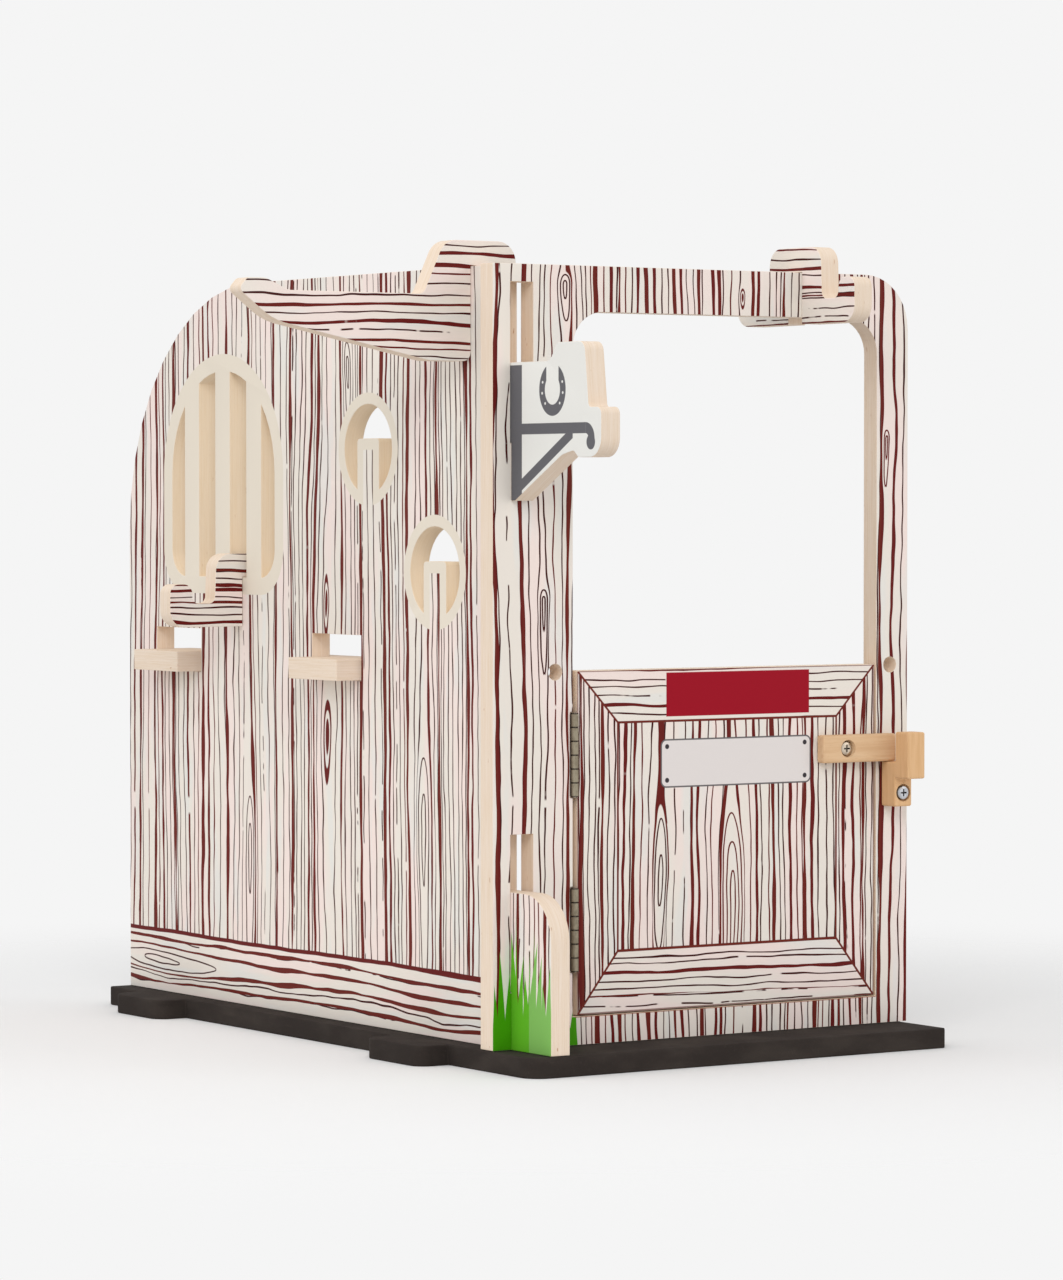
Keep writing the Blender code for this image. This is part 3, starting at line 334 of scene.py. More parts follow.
    def shine(self, colour: Any, roughness: Number, metallic: float = 0.0,
              height: Value | None = None, depth: float = 0.1 * MM,
              gloss: float = 0.5) -> bpy.types.Material:
        """Close the finish with its surface shader.

        Args:
            colour: The base colour or its socket.
            roughness: The roughness or its value.
            metallic: 1 for bare metal.
            height: A height from 0 to 1 that roughens the surface.
            depth: How deep the height goes, in metres.
            gloss: The strength of the plain reflection, 0.5 for most varnish and plastic.

        Returns:
            The finished material.
        """
        shader = self.node("ShaderNodeBsdfPrincipled", {}, {
            "Base Color": colour,
            "Roughness": roughness,
            "Metallic": metallic,
            "Specular IOR Level": gloss,
        })
        if height is not None:
            bump = self.node("ShaderNodeBump", {}, {
                "Strength": 0.6,
                "Distance": depth,
                "Height": height,
            })
            self.tree.links.new(bump.outputs[0], shader.inputs["Normal"])
        out = self.node("ShaderNodeOutputMaterial")
        self.tree.links.new(shader.outputs[0], out.inputs["Surface"])
        return self.material


def printed_ply(sheet: Sheet, printed: Any, bare: Any, face: Value) -> bpy.types.Material:
    """Close a plywood finish, with print on its faces and bare layers on its edges.

    Args:
        sheet: The finish it is drawn in.
        printed: The print's colour.
        bare: The bare layers' colour.
        face: The mask of the printed faces.

    Returns:
        The finished material.
    """
    colour = sheet.blend(face, bare, printed)
    return sheet.shine(colour, PLY_ROUGHNESS - face * PRINT_SMOOTHING, gloss=PLY_GLOSS)


@dataclass(frozen=True)
class Swirl:
    """An eye in the printed grain that the lines bend round, in millimetres."""

    across: float
    along: float
    half_width: float
    rise: float
    fall: float
    rings: int = 3
    dark: bool = False


@dataclass(frozen=True)
class PrintInk:
    """The colours of the printed boards."""

    cream: Colour = srgb(237, 229, 219)
    pink: Colour = srgb(243, 226, 219)
    cool: Colour = srgb(230, 229, 224)
    thin: Colour = srgb(66, 21, 19)
    red: Colour = srgb(100, 22, 20)
    brown: Colour = srgb(108, 38, 28)


INK = PrintInk()


@dataclass(frozen=True)
class Grain:
    """A printed grain: thick lines between boards and thin hand-drawn lines on them."""

    board: float = 34.0
    pitch: float = 6.0
    thick: float = 3.0
    thin: float = 1.1
    wander: float = 7.0
    wobble: float = 3.4
    tremor: float = 0.5
    broken: float = 0.1
    bold_from: float = 0.88
    bold_gain: float = 1.3
    red_from: float = 0.72
    soft: float = 0.07
    seed: float = 0.0
    swirls: tuple[Swirl, ...] = ()

    def draw(self, sheet: Sheet, across: Value, along: Value) -> bpy.types.NodeSocket:
        """Draw the grain.

        Args:
            sheet: The finish it is drawn in.
            across: The place across the lines, in millimetres.
            along: The place along the lines, in millimetres.

        Returns:
            The printed colour.
        """
        seed = self.seed
        drift = sheet.noise((across / 85 + seed, along / 380 + seed), 1.0) - 0.5
        wobble = sheet.noise((across / 24 + seed, along / 64 - seed), 2.0) - 0.5
        tremor = sheet.noise((across / 9 - seed, along / 19 + seed), 1.0) - 0.5
        bare = across + drift * (2 * self.wander) + wobble * self.wobble + tremor * self.tremor
        place = bare
        inside: Number = 0.0
        rings: Number = 0.0
        knots: Number = 0.0
        for swirl in self.swirls:
            pushed, eye, ring = self.bend(sheet, swirl, bare, along)
            place = place - pushed
            inside = eye + inside
            if swirl.dark:
                knots = ring + knots
            else:
                rings = ring + rings
        edge = Value(sheet, sheet.cells(place / self.board + seed, "DISTANCE_TO_EDGE").outputs[0])
        board = sheet.cells(place / self.board + seed, "F1")
        tone = Value(sheet, self.first_channel(sheet, board))
        swell = sheet.noise((place / 30 + seed, along / 70), 1.0)
        thick_half = (swell * 2.0 - 0.1) * (self.thick / 2)
        thick = sheet.within(edge * self.board, thick_half, self.soft)
        density = tone * 0.8 + 0.75
        lines = place / self.pitch * density + tone * 17.3 + seed
        index = lines.floor()
        centre = sheet.chance(index + tone * 31.7) * 0.4 + 0.3
        sway = sheet.noise((index * 3.7 + seed, along / 62), 2.0) - 0.5
        away = abs(lines - index - centre - sway * 0.6) * self.pitch / density
        weight = sheet.noise((index * 5.3, along / 42 + seed), 2.0)
        kind = sheet.chance(index * 1.7 + tone * 9.1 + 0.31)
        bold = (kind > self.bold_from) * self.bold_gain + 1
        thin_half = (weight * 1.2 + 0.4) * bold * (self.thin / 2)
        thin = sheet.within(away, thin_half, self.soft)
        gaps = sheet.noise((index * 7.9 + seed, along / 44), 3.0, 0.6)
        dashed = kind < self.broken
        limit = dashed * 0.18 + 0.28
        thin = thin * sheet.step(gaps - limit, -0.02, 0.02)
        if self.swirls:
            outside = 1 - inside
            thin = thin * outside + rings
            thick = thick * outside + knots
        thin_ink = sheet.blend(kind > self.red_from, INK.thin, INK.red)
        thick_ink = sheet.blend(tone, INK.red, INK.brown)
        colour = sheet.blend(thin, self.paint(sheet, across, along), thin_ink)
        return sheet.blend(thick, colour, thick_ink)

    def bend(self, sheet: Sheet, swirl: Swirl, across: Value,
             along: Value) -> tuple[Value, Value, Value]:
        """Bend the lines round one eye and draw the rings inside it.

        Args:
            sheet: The finish it is drawn in.
            swirl: The eye.
            across: The place across the lines.
            along: The place along the lines.

        Returns:
            How far lines are pushed, the mask of the eye's inside, and its rings.
        """
        size = swirl.half_width
        side = across - swirl.across
        up = along - swirl.along
        above = up > 0.0
        squeeze = above * (size / swirl.rise - size / swirl.fall) + size / swirl.fall
        length = up * squeeze
        square = side * side + length * length + 0.01
        push = (size * size / square).least(1.0) * side
        radius = square.root()
        eye = sheet.within(radius, size, 0.1)
        steep = (side * side + length * length * squeeze * squeeze + 0.002).root() / radius
        turn = radius * (swirl.rings / size)
        if swirl.dark:
            core = sheet.within(radius, size * 0.42)
            rim = sheet.within(abs(radius - size * 0.82), size * 0.16, 0.12)
            return push, eye, core.most(rim) * eye
        gap = abs(turn - turn.floor() - 0.62) * (size / swirl.rings) / steep
        ring = sheet.within(gap, self.thin * 0.5, 0.1)
        return push, eye, ring * eye

    @staticmethod
    def first_channel(sheet: Sheet, cells: bpy.types.Node) -> bpy.types.NodeSocket:
        """Take the red channel of each cell's own colour."""
        split = sheet.node("ShaderNodeSeparateColor", {}, {0: cells.outputs["Color"]})
        return split.outputs[0]

    @staticmethod
    def paint(sheet: Sheet, across: Value, along: Value) -> bpy.types.NodeSocket:
        """Give the pale ground under the lines, with faint streaks of tint."""
        warm = sheet.noise((across / 24, along / 160), 2.0)
        cool = sheet.noise((across / 15 + 40, along / 110 + 9), 2.0)
        ground = sheet.blend(sheet.step(warm, 0.42, 0.66), INK.cream, INK.pink)
        return sheet.blend(sheet.step(cool, 0.52, 0.72) * 0.7, ground, INK.cool)


@dataclass(frozen=True)
class BarePly:
    """Bare birch plywood: layers across the sheet and streaks along it."""

    start: float
    facing: Facing
    layers: int = 7
    thickness: float = 15.0
    pale: Colour = srgb(238, 221, 204)
    tan: Colour = srgb(226, 202, 173)
    glue: Colour = srgb(206, 176, 142)
    stain: Colour = srgb(182, 130, 90)

    def draw(self, sheet: Sheet, place: tuple[Value, Value, Value]) -> bpy.types.NodeSocket:
        """Draw the wood.

        Args:
            sheet: The finish it is drawn in.
            place: The point in millimetres.

        Returns:
            The wood's colour.
        """
        axis = self.facing.index
        through = place[axis] - self.start
        others = [place[other] for other in range(3) if other != axis]
        waver = sheet.noise((others[0] / 60, others[1] / 60), 2.0) - 0.5
        level = (through + waver * 0.5) * (self.layers / self.thickness)
        layer = level.floor()
        part = level - layer
        end = sheet.step(sheet.chance(layer + 0.5), 0.4, 0.6)
        streak = sheet.noise((through / 0.9, others[0] / 26, others[1] / 30), 4.0, 0.65)
        fleck = sheet.noise((through / 0.35, others[0] / 1.2, others[1] / 1.2), 2.0)
        colour = sheet.blend(sheet.step(streak, 0.38, 0.72) * 0.6, self.pale, self.tan)
        colour = sheet.blend(end * 0.12, colour, self.tan)
        colour = sheet.blend(sheet.step(fleck, 0.55, 0.75) * end * 0.2, colour, self.glue)
        seam = sheet.within(part * (part - 1) * -1, 0.045, 0.02)
        colour = sheet.blend(seam * 0.14, colour, self.glue)
        knot = sheet.noise((through / 2.4, others[0] / 9, others[1] / 9), 2.0)
        return sheet.blend(sheet.step(knot, 0.71, 0.79) * 0.7, colour, self.stain)


@dataclass(frozen=True)
class Blade:
    """One printed blade of grass, in millimetres of the face it stands on."""

    root: float
    tip: float
    height: float
    half_width: float

    def mask(self, sheet: Sheet, across: Value, up: Value) -> Value:
        """Give 1 inside the blade."""
        share = up / self.height
        middle = share * share * (self.tip - self.root) + self.root
        side = abs(across - middle) - (1 - share) * self.half_width
        return sheet.within(side.most((share - 1) * self.height))


@dataclass(frozen=True)
class GrassTuft:
    """A printed tuft of grass: a solid foot and blades that stand out of it."""

    left: float
    right: float
    foot: float
    blades: tuple[Blade, ...]
    dark: Colour = srgb(70, 158, 6)
    mid: Colour = srgb(97, 180, 36)
    light: Colour = srgb(129, 187, 93)

    def mask(self, sheet: Sheet, across: Value, up: Value) -> Value:
        """Give 1 inside the tuft.

        Args:
            sheet: The finish it is drawn in.
            across: The place along the ground.
            up: The height above the panel's bottom edge.

        Returns:
            The mask.
        """
        middle = (self.left + self.right) / 2
        sides = abs(across - middle) - (self.right - self.left) / 2
        found = sheet.within(sides.most(up - self.foot))
        for blade in self.blades:
            found = found.most(blade.mask(sheet, across, up))
        return found


@dataclass(frozen=True)
class PanelSizes:
    """Sizes of the two big panels that their print follows, in millimetres."""

    sill: float = 19.3
    left_post: float = 66.0
    right_post: float = 321.0
    wall_outer: float = 14.4
    band: float = 45.0
    front_half: float = 7.0


PANEL = PanelSizes()


@dataclass(frozen=True)
class FrontPanelPrint:
    """The front panel's print: upright boards, and grass at the foot of the left post."""

    grain: Grain = Grain(
        board=23.0,
        pitch=6.9,
        thick=3.1,
        thin=1.1,
        seed=3.7,
        swirls=(
            Swirl(57.0, 512.0, 4.5, 8.0, 30.0, 2),
            Swirl(40.0, 300.0, 3.0, 9.0, 60.0, 2),
            Swirl(330.0, 410.0, 2.6, 8.0, 40.0, 2),
            Swirl(205.0, 507.0, 2.4, 6.0, 9.0, 2, True),
        ),
    )
    ply: BarePly = BarePly(0.0, Facing.DEPTH)
    # Painted shade: a dark line along the top of the sill, just under the door's bottom edge
    sill_shade: Colour = srgb(150, 80, 48)
    sill_shade_half: float = 0.7
    sill_shade_share: float = 0.85
    grass: GrassTuft = GrassTuft(0.8, 66.0, 12.0, (
        Blade(2.5, 1.2, 44.0, 3.4),
        Blade(7.0, 5.6, 66.0, 4.4),
        Blade(12.5, 14.4, 58.0, 4.6),
        Blade(33.0, 31.0, 70.0, 5.0),
        Blade(39.0, 42.0, 55.0, 5.0),
        Blade(46.0, 44.5, 40.0, 5.0),
        Blade(36.0, 37.0, 60.0, 2.2),
        Blade(49.0, 48.6, 54.0, 2.0),
        Blade(52.0, 54.5, 47.0, 5.0),
        Blade(59.0, 57.5, 32.0, 4.6),
        Blade(64.5, 67.0, 36.0, 3.8),
    ))

    def finish(self) -> bpy.types.Material:
        """Make the panel's finish."""
        sheet = Sheet("printed_front_panel")
        x, y, z = sheet.point()
        face = sheet.facing(Facing.DEPTH)
        front = face * (y < PANEL.front_half)
        colour = self.grain.draw(sheet, x, z)
        tuft = self.grass.mask(sheet, x, z) * front
        colour = sheet.blend(tuft, colour, self.grass.dark)
        # Painted shade under the door: a dark line along the sill across the opening between the
        # posts
        line = sheet.within(abs(z - PANEL.sill), self.sill_shade_half)
        opening = (x > PANEL.left_post) * (x < PANEL.right_post)
        line = front * line * opening * self.sill_shade_share
        colour = sheet.blend(line, colour, self.sill_shade)
        return printed_ply(sheet, colour, self.ply.draw(sheet, (x, y, z)), face)


@dataclass(frozen=True)
class SignMotif:
    """The sign's print: a plain bracket with a horseshoe above it, in millimetres."""

    lowest: float = 300.0
    face: Colour = srgb(232, 231, 226)
    ink: Colour = srgb(100, 99, 103)
    post: tuple[float, float] = (13.5, 457.0)
    bar_height: float = 414.5
    bar_half: float = 3.6
    bar_end: float = 89.0
    brace_foot: tuple[float, float] = (14.0, 378.0)
    brace_slope: tuple[float, float] = (0.49, 0.87)
    brace_end: tuple[float, float] = (74.0, 411.5)
    brace_half: float = 3.4
    crook_radius: float = 6.8
    ball: tuple[float, float] = (95.0, 405.2)
    ball_radius: float = 5.0
    shoe: tuple[float, float] = (50.0, 440.0)
    shoe_radius: float = 13.6
    shoe_half: float = 3.7
    shoe_narrowing: float = 1.22
    shoe_gap_half: float = 7.2
    nails: tuple[tuple[float, float], ...] = ((11.6, 5.0), (12.2, -2.2), (8.6, -9.0))
    nail_radius: float = 0.9

    def mask(self, sheet: Sheet, reach: Value, up: Value) -> Value:
        """Give 1 on the dark print.

        Args:
            sheet: The finish it is drawn in.
            reach: The place in front of the front panel.
            up: The height.

        Returns:
            The mask.
        """
        post = sheet.within((reach - self.post[0]).most(up - self.post[1]))
        level = abs(up - self.bar_height) - self.bar_half
        bar = sheet.within(level.most(reach - self.bar_end))
        across = (reach - self.brace_foot[0]) * self.brace_slope[0]
        slant = (up - self.brace_foot[1]) * self.brace_slope[1] - across
        ends = (reach - self.brace_end[0]).most(up - self.brace_end[1])
        brace = sheet.within((abs(slant) - self.brace_half).most(ends))
        crook_middle = (self.bar_end, self.bar_height - self.crook_radius)
        turn = abs(self.distance(reach, up, crook_middle) - self.crook_radius) - self.bar_half
        quarter = (reach > crook_middle[0]) * (up > crook_middle[1])
        crook = sheet.within(turn) * quarter
        ball = sheet.within(self.distance(reach, up, self.ball), self.ball_radius)
        bracket = post.most(bar).most(brace).most(crook).most(ball)
        return bracket.most(self.horseshoe(sheet, reach, up))

    def horseshoe(self, sheet: Sheet, reach: Value, up: Value) -> Value:
        """Give 1 on the horseshoe, apart from its nail holes."""
        side = abs(reach - self.shoe[0])
        over = up - self.shoe[1]
        bow = (side * side * self.shoe_narrowing + over * over).root()
        shoe = sheet.within(abs(bow - self.shoe_radius) - self.shoe_half)
        shoe = shoe * (1 - sheet.within(side - self.shoe_gap_half) * (over > 0.0))
        for nail in self.nails:
            hole = sheet.within(self.distance(side, over, nail), self.nail_radius)
            shoe = shoe * (1 - hole)
        return shoe

    @staticmethod
    def distance(across: Value, up: Value, middle: tuple[float, float]) -> Value:
        """Give the distance from a point."""
        return (across - middle[0]).span(up - middle[1])


@dataclass(frozen=True)
class SideWallPrint:
    """The side wall's print: boards, a low band, plain borders, grass and the sign."""

    grain: Grain = Grain(
        board=33.0,
        pitch=7.7,
        thick=3.3,
        thin=1.2,
        wander=8.0,
        seed=11.3,
        swirls=(
            Swirl(238.0, 296.0, 3.4, 20.0, 28.0, 2, True),
            Swirl(236.0, 203.0, 5.2, 24.0, 38.0, 2, True),
            Swirl(210.0, 462.0, 5.0, 20.0, 50.0, 2),
            Swirl(112.0, 150.0, 7.5, 50.0, 150.0, 2),
            Swirl(352.0, 120.0, 6.5, 40.0, 120.0, 2),
        ),
    )
    band_grain: Grain = Grain(
        board=9.0,
        pitch=15.0,
        thick=2.7,
        thin=1.1,
        wander=13.0,
        broken=0.2,
        seed=5.1,
        swirls=(
            Swirl(22.0, 486.0, 8.0, 60.0, 110.0, 2),
        ),
    )
    ply: BarePly = BarePly(14.4, Facing.ACROSS)
    window_middle: float = 386.0
    window_spring: float = 387.0
    window_sill: float = 311.5
    window_radius: float = 75.0
    window_border: float = 12.5
    window_corner: float = 20.0
    hole_radius: float = 31.5
    hole_border: float = 8.0
    tongue_width: float = 29.0
    tongue_rise: float = 7.5
    holes: tuple[tuple[float, float], ...] = ((182.0, 403.0), (95.0, 318.0))
    border: Colour = srgb(231, 221, 205)
    # Painted bounce light: a warm tint standing in for the light bounced into the shaded reveals
    reveal_bounce_light: Colour = srgb(240, 220, 182)
    reveal_bounce_share: float = 0.4
    band_line_half: float = 1.5
    band_sway: float = 3.0
    sign: SignMotif = SignMotif()
    sunny_grass: float = 22.0
    grass: GrassTuft = GrassTuft(-2.0, 48.0, 14.0, (
        Blade(4.5, 0.6, 79.0, 8.0),
        Blade(10.5, 15.5, 64.0, 6.0),
        Blade(19.0, 17.0, 52.0, 7.0),
        Blade(25.0, 32.5, 75.0, 7.4),
        Blade(33.0, 37.5, 66.0, 6.4),
        Blade(40.5, 38.0, 48.0, 6.0),
        Blade(45.0, 47.6, 60.0, 5.4),
        Blade(7.0, 6.2, 90.0, 1.8),
        Blade(22.0, 23.4, 68.0, 2.2),
        Blade(29.0, 28.2, 82.0, 1.8),
    ))

    def finish(self) -> bpy.types.Material:
        """Make the wall's finish."""
        sheet = Sheet("printed_side_wall")
        x, y, z = sheet.point()
        face = sheet.facing(Facing.ACROSS)
        outside = face * (x < PANEL.wall_outer + PANEL.front_half)
        hooks = y < PANEL.front_half
        colour = self.grain.draw(sheet, y, z)
        band = sheet.within(z - PANEL.band, 0.0, 0.3) * (1 - hooks)
        low = self.band_grain.draw(sheet, z, y)
        colour = sheet.blend(band, colour, low)
        away = abs(z - PANEL.band - self.sway(sheet, y))
        rim = sheet.within(away, self.band_line_half, 0.25) * (1 - hooks)
        colour = sheet.blend(rim, colour, INK.red)
        colour = sheet.blend(self.plain(sheet, y, z), colour, self.border)
        reach = 0 - y
        tuft = self.grass.mask(sheet, reach, z) * hooks * outside
        shade = sheet.blend(reach > self.sunny_grass, self.grass.mid, self.grass.light)
        colour = sheet.blend(tuft, colour, shade)
        motif = self.sign.mask(sheet, reach, z) * outside
        plate = sheet.blend(motif, self.sign.face, self.sign.ink)
        colour = sheet.blend(hooks * (z > self.sign.lowest), colour, plate)
        bare = self.ply.draw(sheet, (x, y, z))
        # Painted bounce light: the bare ply of the window's and holes' reveals is tinted warm
        bare = sheet.blend(self.plain(sheet, y, z) * self.reveal_bounce_share, bare, self.reveal_bounce_light)
        return printed_ply(sheet, colour, bare, face)

    def sway(self, sheet: Sheet, along: Value) -> Value:
        """Let the band's top line wander a little."""
        return (sheet.noise((along / 70, 3.3), 2.0) - 0.5) * self.band_sway

    def plain(self, sheet: Sheet, depth: Value, up: Value) -> Value:
        """Give 1 on the unprinted borders of the window and of the round holes.

        Args:
            sheet: The finish it is drawn in.
            depth: The place behind the front panel's front face.
            up: The height.

        Returns:
            The mask.
        """
        corner = self.window_corner + self.window_border
        reach = self.window_radius + self.window_border
        side = abs(depth - self.window_middle)
        over = up - self.window_spring
        low = self.window_spring - self.window_sill + self.window_border
        arch = side.span(over) - reach
        inner_side = (side - (reach - corner)).most(0.0)
        inner_low = ((0 - over) - (low - corner)).most(0.0)
        box = inner_side.span(inner_low) - corner
        above = over > 0.0
        found = sheet.within(above * (arch - box) + box)
        for centre, height in self.holes:
            found = found.most(self.ring(sheet, depth - centre, up - height))
        return found

    def ring(self, sheet: Sheet, side: Value, over: Value) -> Value:
        """Give 1 on the border round one hole and round the tongue inside it.

        Args:
            sheet: The finish it is drawn in.
            side: The place from the hole's centre, across.
            over: The place above the hole's centre.

        Returns:
            The mask.
        """
        reach = self.hole_radius + self.hole_border
        disc = sheet.within(side.span(over), reach)
        half = self.tongue_width / 2 - self.hole_border
        top = self.tongue_rise - self.hole_border
        core = sheet.within((abs(side) - half).most(over - top))
        return disc * (1 - core)


@dataclass(frozen=True)
class DoorPrint:
    """The half-door's print: a mitred frame, an upright-boarded panel and two labels."""

    left: float = 67.9
    right: float = 318.7
    bottom: float = 20.1
    top: float = 252.5
    inner_left: float = 101.0
    inner_bottom: float = 62.0
    inner_top: float = 217.0
    mitre_half: float = 1.0
    edge_half: float = 0.75
    rim_width: float = 0.9
    rim_share: float = 0.75
    panel_grain: Grain = Grain(
        board=28.0,
        pitch=7.2,
        thick=3.3,
        thin=1.15,
        seed=21.9,
        wander=5.0,
        swirls=(
            Swirl(197.0, 100.0, 9.5, 60.0, 300.0, 3),
            Swirl(135.0, 110.0, 6.0, 50.0, 60.0, 2),
        ),
    )
    stile_grain: Grain = Grain(board=15.0, pitch=6.2, thick=3.1, thin=1.1, seed=8.2, wander=3.0)
    rail_grain: Grain = Grain(board=44.0, pitch=7.2, thick=1.2, thin=1.0, seed=31.4,
                              wander=8.0, broken=0.25)
    ply: BarePly = BarePly(0.0, Facing.DEPTH)
    label: Colour = srgb(156, 8, 32)
    plate: Colour = srgb(228, 221, 218)
    outline: Colour = srgb(58, 54, 58)
    label_box: tuple[float, float, float, float] = (141.0, 262.0, 220.0, 250.0)
    plate_middle: tuple[float, float] = (200.0, 188.0)
    plate_size: tuple[float, float] = (127.0, 33.0)
    plate_corner: float = 4.5
    line_inset: float = 0.4
    line_half: float = 0.55
    dot_inset: tuple[float, float] = (5.2, 5.0)
    dot_radius: float = 1.7

    def finish(self) -> bpy.types.Material:
        """Make the door's finish."""
        sheet = Sheet("printed_half_door")
        x, y, z = sheet.point()
        face = sheet.facing(Facing.DEPTH)
        front = face * (y < PANEL.front_half)
        slope_left = (self.inner_bottom - self.bottom) / (self.inner_left - self.left)
        slope_top = (self.top - self.inner_top) / (self.inner_left - self.left)
        beside = (x - self.left).least(self.right - x)
        below = (z - self.bottom) / slope_left
        over = (self.top - z) / slope_top
        rail = beside > below.least(over)
        depth = beside.least(below).least(over)
        stile = self.inner_left - self.left
        centre = sheet.step(depth, stile - 0.2, stile)
        colour = sheet.blend(
            rail, self.stile_grain.draw(sheet, x, z), self.rail_grain.draw(sheet, z, x)
        )
        colour = sheet.blend(centre, colour, self.panel_grain.draw(sheet, x, z))
        corner = abs(beside - below.least(over))
        mitre = sheet.within(corner, self.mitre_half, 0.25) * (1 - centre)
        edge = sheet.within(abs(depth - stile), self.edge_half)
        rim = sheet.within(depth, self.rim_width, 0.25) * self.rim_share
        colour = sheet.blend(mitre.most(edge).most(rim), colour, INK.brown)
        colour = self.labels(sheet, colour, x, z, front)
        return printed_ply(sheet, colour, self.ply.draw(sheet, (x, y, z)), face)

    def labels(self, sheet: Sheet, colour: Any, across: Value, up: Value,
               front: Value) -> bpy.types.NodeSocket:
        """Lay the plain label and the empty name plate over the print.

        Args:
            sheet: The finish they are drawn in.
            colour: The print below.
            across: The place across the door.
            up: The height.
            front: The mask of the door's front face.

        Returns:
            The colour with both labels.
        """
        left, right, bottom, top = self.label_box
        side = (left - across).most(across - right)
        label = sheet.within(side.most((bottom - up).most(up - top)))
        colour = sheet.blend(label * front, colour, self.label)
        half_wide = self.plate_size[0] / 2 - self.plate_corner
        half_high = self.plate_size[1] / 2 - self.plate_corner
        aside = abs(across - self.plate_middle[0])
        aloft = abs(up - self.plate_middle[1])
        out_side = (aside - half_wide).most(0.0)
        out_up = (aloft - half_high).most(0.0)
        reach = out_side.span(out_up) - self.plate_corner
        plate = sheet.within(reach)
        line = sheet.within(abs(reach + self.line_inset), self.line_half, 0.15)
        colour = sheet.blend(plate * front, colour, self.plate)
        colour = sheet.blend(line * front * 0.85, colour, self.outline)
        dot_side = aside - (self.plate_size[0] / 2 - self.dot_inset[0])
        dot_up = aloft - (self.plate_size[1] / 2 - self.dot_inset[1])
        dot = sheet.within(dot_side.span(dot_up), self.dot_radius)
        return sheet.blend(dot * front, colour, self.outline)


@dataclass(frozen=True)
class LoosePiecePrint:
    """The print of a piece that lifts off: lying grain on both faces, bare edges."""

    name: str
    facing: Facing
    start: float
    grain: Grain

    def finish(self) -> bpy.types.Material:
        """Make the piece's finish."""
        sheet = Sheet(self.name)
        place = sheet.point()
        face = sheet.facing(self.facing)
        length = place[1] if self.facing is Facing.ACROSS else place[0]
        colour = self.grain.draw(sheet, place[2], length)
        bare = BarePly(self.start, self.facing).draw(sheet, place)
        return printed_ply(sheet, colour, bare, face)


@dataclass(frozen=True)
class Beech:
    """Plain beech with its short flecks, sanded and left dull."""

    name: str
    along: Facing
    light: Colour = srgb(226, 190, 150)
    deep: Colour = srgb(218, 179, 138)
    fleck: Colour = srgb(204, 160, 118)

    def finish(self) -> bpy.types.Material:
        """Make the wood's finish."""
        sheet = Sheet(self.name)
        place = list(sheet.point())
        run = place.pop(self.along.index)
        streak = sheet.noise((run / 40, place[0] / 2.6, place[1] / 2.6), 3.0, 0.6)
        fleck = sheet.noise((run / 3.2, place[0] / 0.45, place[1] / 0.45), 2.0)
        colour = sheet.blend(sheet.step(streak, 0.36, 0.68), self.light, self.deep)
        colour = sheet.blend(sheet.step(fleck, 0.60, 0.74) * 0.3, colour, self.fleck)
        return sheet.shine(colour, 0.5 + streak * 0.12, height=fleck, depth=0.06 * MM, gloss=0.2)


@dataclass(frozen=True)
class Foam:
    """Closed-cell foam sheet: near-black, with fine cells and a few scuffs."""

    base: Colour = srgb(50, 44, 41)
    pale: Colour = srgb(68, 61, 56)

    def finish(self) -> bpy.types.Material:
        """Make the foam's finish."""
        sheet = Sheet("charcoal_foam")
        x, y, z = sheet.point()
        cells = sheet.noise((x / 0.9, y / 0.9, z / 0.9), 2.0, 0.7)
        clouds = sheet.noise((x / 46, y / 46, z / 20), 3.0, 0.55)
        scuffs = sheet.noise((x / 3.0, y / 26, z / 3.0), 3.0, 0.6)
        share = sheet.step(clouds, 0.36, 0.72) * 0.55 + sheet.step(scuffs, 0.58, 0.78) * 0.3
        speck = sheet.step(cells, 0.58, 0.74) * 0.35
        colour = sheet.blend(share + speck, self.base, self.pale)
        return sheet.shine(colour, 0.9 - clouds * 0.1, height=cells, depth=0.3 * MM, gloss=0.1)


@dataclass(frozen=True)
class Steel:
    """Bare metal with fine wear."""

    name: str
    light: Colour
    dark: Colour
    roughness: float = 0.34
    grime: float = 0.6

    def mark(self, sheet: Sheet, colour: Any,
             place: tuple[Value, Value, Value]) -> bpy.types.NodeSocket:
        """Add what only this kind of piece shows: nothing on plain steel.

        Args:
            sheet: The finish it is drawn in; not used on plain steel.
            colour: The colour so far.
            place: The point in millimetres; not used on plain steel.

        Returns:
            The marked colour.
        """
        return colour

    def finish(self) -> bpy.types.Material:
        """Make the metal's finish."""
        sheet = Sheet(self.name)
        x, y, z = sheet.point()
        wear = sheet.noise((x / 2.6, y / 2.6, z / 5.0), 3.0, 0.6)
        scratch = sheet.noise((x / 0.5, y / 0.5, z / 6.0), 2.0)
        share = sheet.step(wear, 0.38, 0.66) * self.grime
        colour = self.mark(sheet, sheet.blend(share, self.light, self.dark), (x, y, z))
        rough = self.roughness + share * 0.25 + scratch * 0.1
        return sheet.shine(colour, rough, metallic=1.0, height=scratch, depth=0.04 * MM)


